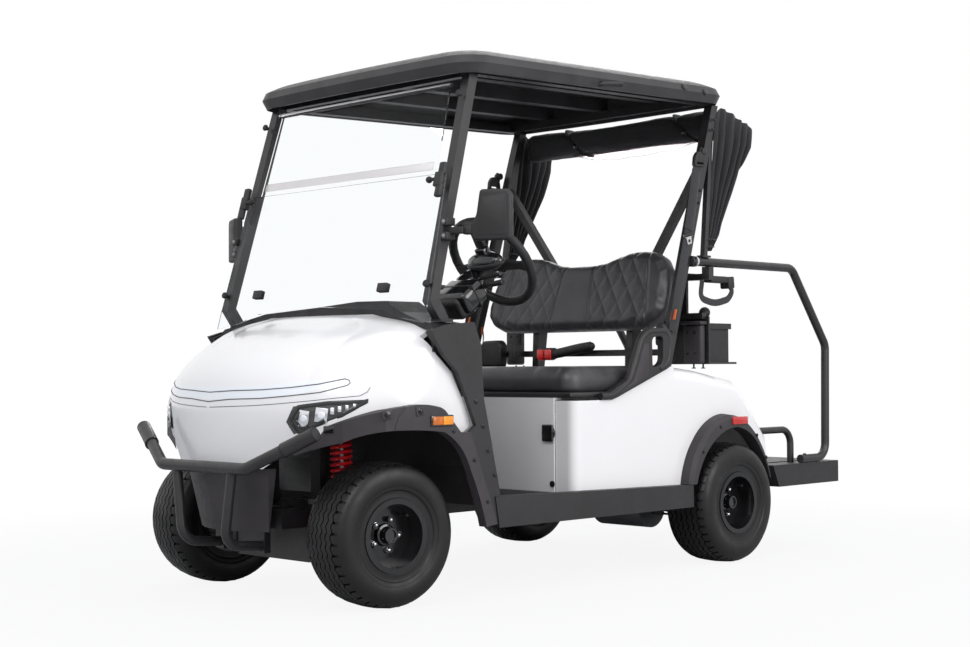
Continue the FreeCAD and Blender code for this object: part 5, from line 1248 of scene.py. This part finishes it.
class CART_OT_screen_fittings(CartOperator, bpy.types.Operator):
    """Windscreen's split band, a pale rod along its top edge that paints the edge's highlight, and its latches, knobs
    and clips
    """
    bl_idname = "cart.screen_fittings"
    bl_label = "Screen fittings"

    def make(self, size):
        blocks, knobs, band = blanks(3)
        lean = Vector((0.0, 221 - 124, 1361 - 1015)).normalized()
        out = Vector((0.0, -lean.z, lean.y))
        for _, sign in SIDES:
            for spot, form in (((520, 203, 1352), (0.036, 0.050, 0.020)), ((524, 216, 1384), (0.028, 0.050, 0.018)),
                    ((528, 194, 1316), (0.026, 0.046, 0.018))):
                cube(blocks, form, frame_of(at(sign * spot[0], *spot[1:]) + out * 0.012, LEFT, lean), 0.005, 3)
            hinge = at(sign * 503, 205, 1352) + out * 0.018
            rod(knobs, hinge, hinge + Vector((-sign * 0.020, 0, 0)), 0.006, 14)
            ball(knobs, hinge + Vector((-sign * 0.026, 0, 0)), 0.0115, 8)
            for x, y, z in ((539, 131, 1012), (517, 300, 1640)):
                spot = at(sign * x, y, z) + out * 0.006
                rod(knobs, spot, spot + out * 0.010, 0.007, 14, 0.006, 0.001)
                rod(knobs, spot + out * 0.009, spot + out * 0.018, 0.0125, 12, 0.011, 0.002)
            cube(blocks, (0.046, 0.030, 0.020), frame_of(at(sign * 335, 114, 1011), LEFT, lean), 0.003)
        pane = [vert.co for vert in NODES["windscreen_upper"].data.vertices]
        foot = min(pane, key=lambda spot: spot.z)
        head = max(pane, key=lambda spot: spot.z)
        wide = max(spot.x for spot in pane)
        rise = Vector((0.0, head.y - foot.y, head.z - foot.z)).normalized()
        face = Vector((0.0, -rise.z, rise.y))
        front = max(spot.dot(face) for spot in pane)
        middle = Vector((0.0, foot.y, foot.z)) + rise * 0.030
        middle += face * (front - middle.dot(face) + 0.0006)
        cube(band, (wide * 1.92, 0.028, 0.0016), frame_of(middle, LEFT, rise), 0.0006, 1)
        # the pale rod along the top edge is a painted highlight of the screen's edge, not a separate part
        edge = Vector((0.0, head.y, head.z)) - rise * 0.009
        edge += face * (front - edge.dot(face) - 0.001)
        rod(band, edge + Vector((wide * 0.985, 0, 0)), edge - Vector((wide * 0.985, 0, 0)), 0.0085, 16, None, 0.003)
        build("screen_latches", blocks, "trim_grain")
        build("screen_knobs", knobs, "soft_rubber")
        build("screen_split_and_painted_highlight", band, "screen_band_and_highlight")


class CART_OT_belts(CartOperator, bpy.types.Operator):
    """Seat belts: shoulder rings, webbing, tongues, reels and the pair of red buckles"""
    bl_idname = "cart.belts"
    bl_label = "Seat belts"

    def make(self, size):
        webs, plastic, metal, red, tags = blanks(5)
        for _, sign in SIDES:
            path = [at(sign * BELT_X, *spot) for spot in ((1507, 1512), (1494, 1440), (1470, 1330), (1447, 1236),
                    (1420, 1140), (1384, 1010), (1352, 880))]
            strip = [along_line(path, step / 36.0) for step in range(37)]
            swept(webs, strip, 0.0235, 12, False, 0.09, LEFT)
            sleeve = [along_line(path, 0.03 + 0.36 * step / 14.0) for step in range(15)]
            swept(webs, sleeve, 0.0262, 12, False, 0.20, LEFT)
            ring = upright(sign * BELT_X, 1520, 1530, 90.0)
            pebble(plastic, ((-34, -22), (34, -22), (30, 12), (14, 34), (-14, 34), (-30, 12)), ring @ rise(-0.008),
                    0.016, 0.005, 0.010, 3, (((-22, -14), (22, -14), (20, -6), (-20, -6)),))
            rod(plastic, at(sign * 532, 1546, 1568), at(sign * 559, 1546, 1568), 0.014, 20, None, 0.002)
            cube(plastic, (0.012, 0.026, 0.060), put(sign * 545, 1537, 1553) @ spin(-0.31, "X"), 0.004)
            tongue = upright(sign * 552, 1447, 1242, 90.0) @ spin(sign * 0.25, "Z")
            pebble(metal, ((-13, -34), (13, -34), (15, -8), (30, -4), (30, 8), (-30, 8), (-30, -4), (-15, -8)),
                    tongue @ rise(-0.002), 0.004, 0.001, 0.004, 1, (((-7, -27), (7, -27), (7, -16), (-7, -16)),))
            pebble(plastic, ((-29, -5), (29, -5), (29, 10), (-29, 10)), tongue @ rise(-0.006), 0.012, 0.003, 0.004, 2)
            reel = upright(sign * 519, 1352, 868)
            pebble(plastic, ((-24, -42), (24, -42), (26, 22), (14, 42), (-14, 42), (-26, 22)), reel, 0.040, 0.008,
                    0.012, 3)
            cube(tags, (0.024, 0.0024, 0.040), put(sign * BELT_X, 1357, 942) @ spin(-0.31, "X"), 0.0008, 1)
        pebble(plastic, ((-62, -50), (54, -56), (58, 36), (40, 56), (-44, 54), (-60, 34)), upright(-337, 1326, 803),
                0.050, 0.012, 0.02)
        cube(plastic, (0.034, 0.060, 0.078), put(-221, 1312, 803), 0.006)
        strap = arc_points(spots((-400, 1322, 770), (-452, 1330, 760), (-478, 1360, 800), (-486, 1392, 868),
                (-506, 1400, 926)), 0.04, 5)
        swept(webs, strap, 0.016, 10, False, 0.12, BACK)
        cube(tags, (0.030, 0.048, 0.004), frame_of(at(-512, 1392, 897), Vector((1, 0, -0.3)), Vector((0.3, 0, 1))),
                0.001, 1)
        for x in (-67, -27):
            cube(red, (0.034, 0.030, 0.036), put(x, 1300, 800), 0.004, 3)
            cube(red, (0.026, 0.028, 0.012), put(x, 1303, 782), 0.003)
        cube(plastic, (0.086, 0.026, 0.046), put(-46, 1304, 802), 0.005)
        sleeve = spots((-8, 1303, 800), (40, 1302, 806), (90, 1302, 815), (140, 1302, 823), (188, 1302, 828))
        swept(plastic, arc_points(sleeve, 0.02, 3), 0.019, 14, False, 0.62, BACK)
        ball(plastic, at(188, 1302, 828), 0.0165, 8)
        build("belt_webbing", webs, "belt_web")
        build("belt_fittings", plastic, "trim_grain")
        build("belt_tongues", metal, "bright_steel")
        build("belt_buckles", red, "belt_red")
        build("belt_tags", tags, "tag_orange")


class CART_OT_armrests(CartOperator, bpy.types.Operator):
    """Armrest loops with rounded bars and an inset side panel"""
    bl_idname = "cart.armrests"
    bl_label = "Armrests"

    def make(self, size):
        loops, panels = blanks(2)
        outer = ((914, 634), (989, 634), (1311, 747), (1330, 829), (1302, 893), (1188, 888), (1149, 862), (1080, 709))
        hole = ((1204, 857), (1268, 861), (1267, 762), (1206, 742))
        place = Matrix(((0, 0, 1, 0.5425), (1, 0, 0, -DATUM), (0, 1, 0, 0), (0, 0, 0, 1)))
        pebble(loops, outer, place, 0.0292, 0.0085, 0.022, 4, (hole,))
        pebble(panels, ((1010, 652), (1180, 712), (1184, 830), (1160, 836), (1098, 700)), place @ rise(0.0270),
                0.0032, 0.0012, 0.012, 2)
        rim = [(925, 645), (990, 647), (1082, 697), (1152, 852), (1190, 876), (1293, 881), (1317, 829), (1300, 759),
                (1250, 741)]
        swept(loops, arc_points([at(561, *spot) for spot in rim], 0.030, 5), 0.0135, 14)
        build("armrest_loops", mirrored(loops), "trim_grain", stands_for=["armrests"])
        build("armrest_panels", mirrored(panels), "flare_grain")


class CART_OT_body_fittings(CartOperator, bpy.types.Operator):
    """Charge port, key lock, sill bolts, roof plugs, grab handles and mat ribs"""
    bl_idname = "cart.body_fittings"
    bl_label = "Body fittings"

    def make(self, size):
        dark, bolts, plugs, ribs, handles = blanks(5)
        port = upright(447, 780, 519)
        rod(dark, port @ Vector((0, 0, -0.002)), port @ Vector((0, 0, 0.006)), 0.030, 32, None, 0.002)
        cube(dark, (0.052, 0.060, 0.010), port @ rise(0.006), 0.006, 3)
        lock = upright(464, 780, 342)
        rod(plugs, lock @ Vector((0, 0, -0.001)), lock @ Vector((0, 0, 0.004)), 0.011, 24, None, 0.001)
        skin = Skin("side_trims", "rocker_left")
        for spot in ((575, 300, 640), (577, 330, 560), (577, 352, 480), (578, 380, 400), (578, 420, 330),
                (578, 1300, 320)):
            bolt(bolts, skin.seat(at(*spot), 0.0002), 0.0062, 0.003)
        top = Skin("roof")
        for spot in ((573, 1401, 1795), (576, 1526, 1790)):
            place = top.seat(at(*spot), 0.0)
            rod(plugs, place @ Vector((0, 0, -0.001)), place @ Vector((0, 0, 0.0035)), 0.013, 20, None, 0.001)
        grip = arc_points(spots((566, 924, 1744), (580, 930, 1748), (580, 982, 1754), (580, 1034, 1760),
                (566, 1040, 1758)), 0.012, 4)
        swept(handles, grip, 0.0075, 12)
        mat_top = max(vert.co.z for vert in NODES["floor_mat"].data.vertices)
        for row in range(17):
            for sign in (1.0, -1.0):
                cube(ribs, (0.40, 0.007, 0.0032), put(sign * 232, 372 + row * 22, 0) @ rise(mat_top), 0.0012, 1)
        build("charge_port", dark, "gloss_black")
        build("trim_bolts", mirrored(bolts), "rim_enamel")
        build("body_plugs", plugs, "rim_enamel")
        build("roof_grips", mirrored(handles), "trim_grain")
        build("mat_ribs", ribs, "mat_rubber")


CORNER = 0.034  # radius of the body's upright corners


class CART_OT_body_corners(CartOperator, bpy.types.Operator):
    """Soft upright corners on the white body beside the seat base"""
    bl_idname = "cart.body_corners"
    bl_label = "Body corners"

    def make(self, size):
        shape = bmesh.new()
        shape.from_mesh(NODES["rear_body"].data)
        bmesh.ops.remove_doubles(shape, verts=shape.verts, dist=1e-5)
        bmesh.ops.dissolve_limit(shape, angle_limit=radians(0.3), verts=shape.verts, edges=shape.edges)
        wide = max(vert.co.x for vert in shape.verts)
        front = min(vert.co.y for vert in shape.verts)
        groups = {}
        for edge in shape.edges:
            one, two = (vert.co for vert in edge.verts)
            inset = wide - abs(one.x)
            rises = abs(one.z - two.z) > 0.05 and abs(one.x - two.x) < 1e-4 and abs(one.y - two.y) < 1e-4
            if rises and inset < 0.012 and one.y - front < 0.012:
                groups.setdefault(round(inset, 4), []).append(edge)
        for inset in sorted(groups):
            edges = [edge for edge in groups[inset] if edge.is_valid]
            rounded(shape, edges, CORNER - inset, 6)
        build("rear_body_shell", shape, "shell_white", stands_for=["rear_body"], smooth=SOLID_CREASE)


FLOOR_REACH = 40.0
FADE = (1.9, 3.4, 0.90)  # distances between which the floor turns white, and the share of white at the first
DAYLIGHT, DAYLIGHT_STRENGTH = (0.93, 0.96, 1.0, 1.0), 0.72
WHITE = (1, 1, 1, 1)
LAMPS = (  # name, place, power, width
    ("key", (2.6, -4.2, 4.2), 108.0, 3.4), ("fill", (5.4, 0.6, 2.6), 150.0, 3.6),
    ("top", (0.0, 0.2, 5.4), 58.0, 4.5), ("back", (-3.6, 4.2, 3.6), 70.0, 3.0),
)
HEADING, TILT, ROLL = radians(44.43), radians(-1.47), radians(-0.33)
FOCAL_LENGTH, SENSOR = 58.70, 36.0


def node_of(tree, kind, *feeds, **settings):
    """A node whose first inputs are values or the outputs of other nodes."""
    made = tree.nodes.new(kind)
    for key, value in settings.items():
        setattr(made, key, value)
    for socket, feed in zip(made.inputs, feeds):
        if isinstance(feed, bpy.types.NodeSocket):
            tree.links.new(feed, socket)
        else:
            socket.default_value = feed
    return made


def linked(name, data):
    item = bpy.data.objects.new(name, data)
    bpy.context.scene.collection.objects.link(item)
    return item


class CART_OT_stage(CartOperator, bpy.types.Operator):
    """Pale floor, soft studio light and the camera"""
    bl_idname = "cart.stage"
    bl_label = "Stage"

    def make(self, size):
        self.lay_floor()
        self.light_world()
        target = at(0, 1000, 800)
        for name, spot, power, width in LAMPS:
            lamp = bpy.data.lights.new(name, "AREA")
            lamp.energy, lamp.shape, lamp.size = power, "DISK", width
            holder = linked(name, lamp)
            holder.location = spot
            holder.rotation_euler = (target - Vector(spot)).to_track_quat("-Z", "Y").to_euler()
        self.place_camera()
        bpy.context.scene.view_settings.view_transform = "Standard"

    def lay_floor(self):
        """Far from the cart the floor is as white as the backdrop, and it keeps the cart's shadow."""
        shape = bmesh.new()
        bmesh.ops.create_grid(shape, x_segments=1, y_segments=1, size=FLOOR_REACH)
        mesh = bpy.data.meshes.new("floor")
        shape.to_mesh(mesh)
        shape.free()
        paint = Finish("floor_paper", (0.50, 0.50, 0.505), 0.85)
        paint.relief(paint.cloud(40.0), 0.0002, 0.1)
        tree = paint.tree
        plain = node_of(tree, "ShaderNodeEmission", WHITE)
        away = node_of(tree, "ShaderNodeVectorMath", paint.coords, operation="LENGTH")
        white = node_of(tree, "ShaderNodeMapRange", away.outputs["Value"], *FADE)
        path = tree.nodes.new("ShaderNodeLightPath").outputs
        share = node_of(tree, "ShaderNodeMath", white.outputs["Result"], path["Is Camera Ray"], operation="MULTIPLY")
        mix = node_of(tree, "ShaderNodeMixShader", share.outputs[0], paint.shader.outputs[0], plain.outputs[0])
        paint.join(mix.outputs[0], tree.nodes["Material Output"].inputs["Surface"])
        mesh.materials.append(paint.material)
        linked("floor", mesh)

    def light_world(self):
        """Soft daylight on the cart, and white wherever the backdrop is seen, mirrored or seen through glass."""
        world = bpy.data.worlds.new("studio")
        bpy.context.scene.world = world
        world.use_nodes = True
        tree = world.node_tree
        light = tree.nodes["Background"]
        light.inputs["Color"].default_value = DAYLIGHT
        light.inputs["Strength"].default_value = DAYLIGHT_STRENGTH
        sheet = node_of(tree, "ShaderNodeBackground", WHITE)
        path = tree.nodes.new("ShaderNodeLightPath").outputs
        seen = node_of(tree, "ShaderNodeMath", path["Is Camera Ray"], path["Is Transmission Ray"],
                operation="MAXIMUM")
        shiny = node_of(tree, "ShaderNodeMath", seen.outputs[0], path["Is Glossy Ray"], operation="MAXIMUM")
        mix = node_of(tree, "ShaderNodeMixShader", shiny.outputs[0], light.outputs[0], sheet.outputs[0])
        tree.links.new(mix.outputs[0], tree.nodes["World Output"].inputs["Surface"])

    def place_camera(self):
        back = Vector((sin(HEADING) * cos(TILT), -cos(HEADING) * cos(TILT), sin(TILT)))
        right = Vector((cos(HEADING), sin(HEADING), 0.0))
        up = back.cross(right)
        across = cos(ROLL) * right + sin(ROLL) * up
        above = cos(ROLL) * up - sin(ROLL) * right
        eye = bpy.data.cameras.new("eye")
        eye.lens, eye.sensor_width = FOCAL_LENGTH, SENSOR
        eye.shift_x, eye.shift_y = -0.0190, 0.0024
        eye.clip_start, eye.clip_end = 0.05, 200.0
        holder = linked("eye", eye)
        holder.matrix_world = Matrix((across, above, back)).transposed().to_4x4()
        holder.location = EYE
        bpy.context.scene.camera = holder


# ------------------------------------------------------------------ panel, run

STEPS = (
    CART_OT_finishes, CART_OT_tyres, CART_OT_wheel_trim, CART_OT_springs, CART_OT_backrest, CART_OT_bench,
    CART_OT_headlamps, CART_OT_light_band, CART_OT_flare_trim, CART_OT_guard_trim, CART_OT_cover_roll,
    CART_OT_cover_sides, CART_OT_bag_stand, CART_OT_hoop_trim, CART_OT_mirrors, CART_OT_steering,
    CART_OT_screen_fittings, CART_OT_belts, CART_OT_armrests, CART_OT_body_fittings, CART_OT_body_corners,
    CART_OT_stage,
)


class CART_PT_panel(bpy.types.Panel):
    bl_idname = "CART_PT_panel"
    bl_label = "Golf cart"
    bl_space_type = "VIEW_3D"
    bl_region_type = "UI"
    bl_category = "Cart"

    def draw(self, context):
        for group in (context.scene.cart_sizes, context.scene.cart_colours):
            box = self.layout.box()
            for key in group.__annotations__:
                box.prop(group, key)
        for step in STEPS:
            self.layout.operator(step.bl_idname)


CLASSES = (CartSizes, CartColours, *STEPS, CART_PT_panel)


def register():
    for item in CLASSES:
        bpy.utils.register_class(item)
    bpy.types.Scene.cart_sizes = bpy.props.PointerProperty(type=CartSizes)
    bpy.types.Scene.cart_colours = bpy.props.PointerProperty(type=CartColours)


def unregister():
    del bpy.types.Scene.cart_colours
    del bpy.types.Scene.cart_sizes
    for item in reversed(CLASSES):
        bpy.utils.unregister_class(item)


def main():
    register()
    for step in STEPS:
        group, name = step.bl_idname.split(".")
        getattr(getattr(bpy.ops, group), name)()


if __name__ == "__main__":
    main()
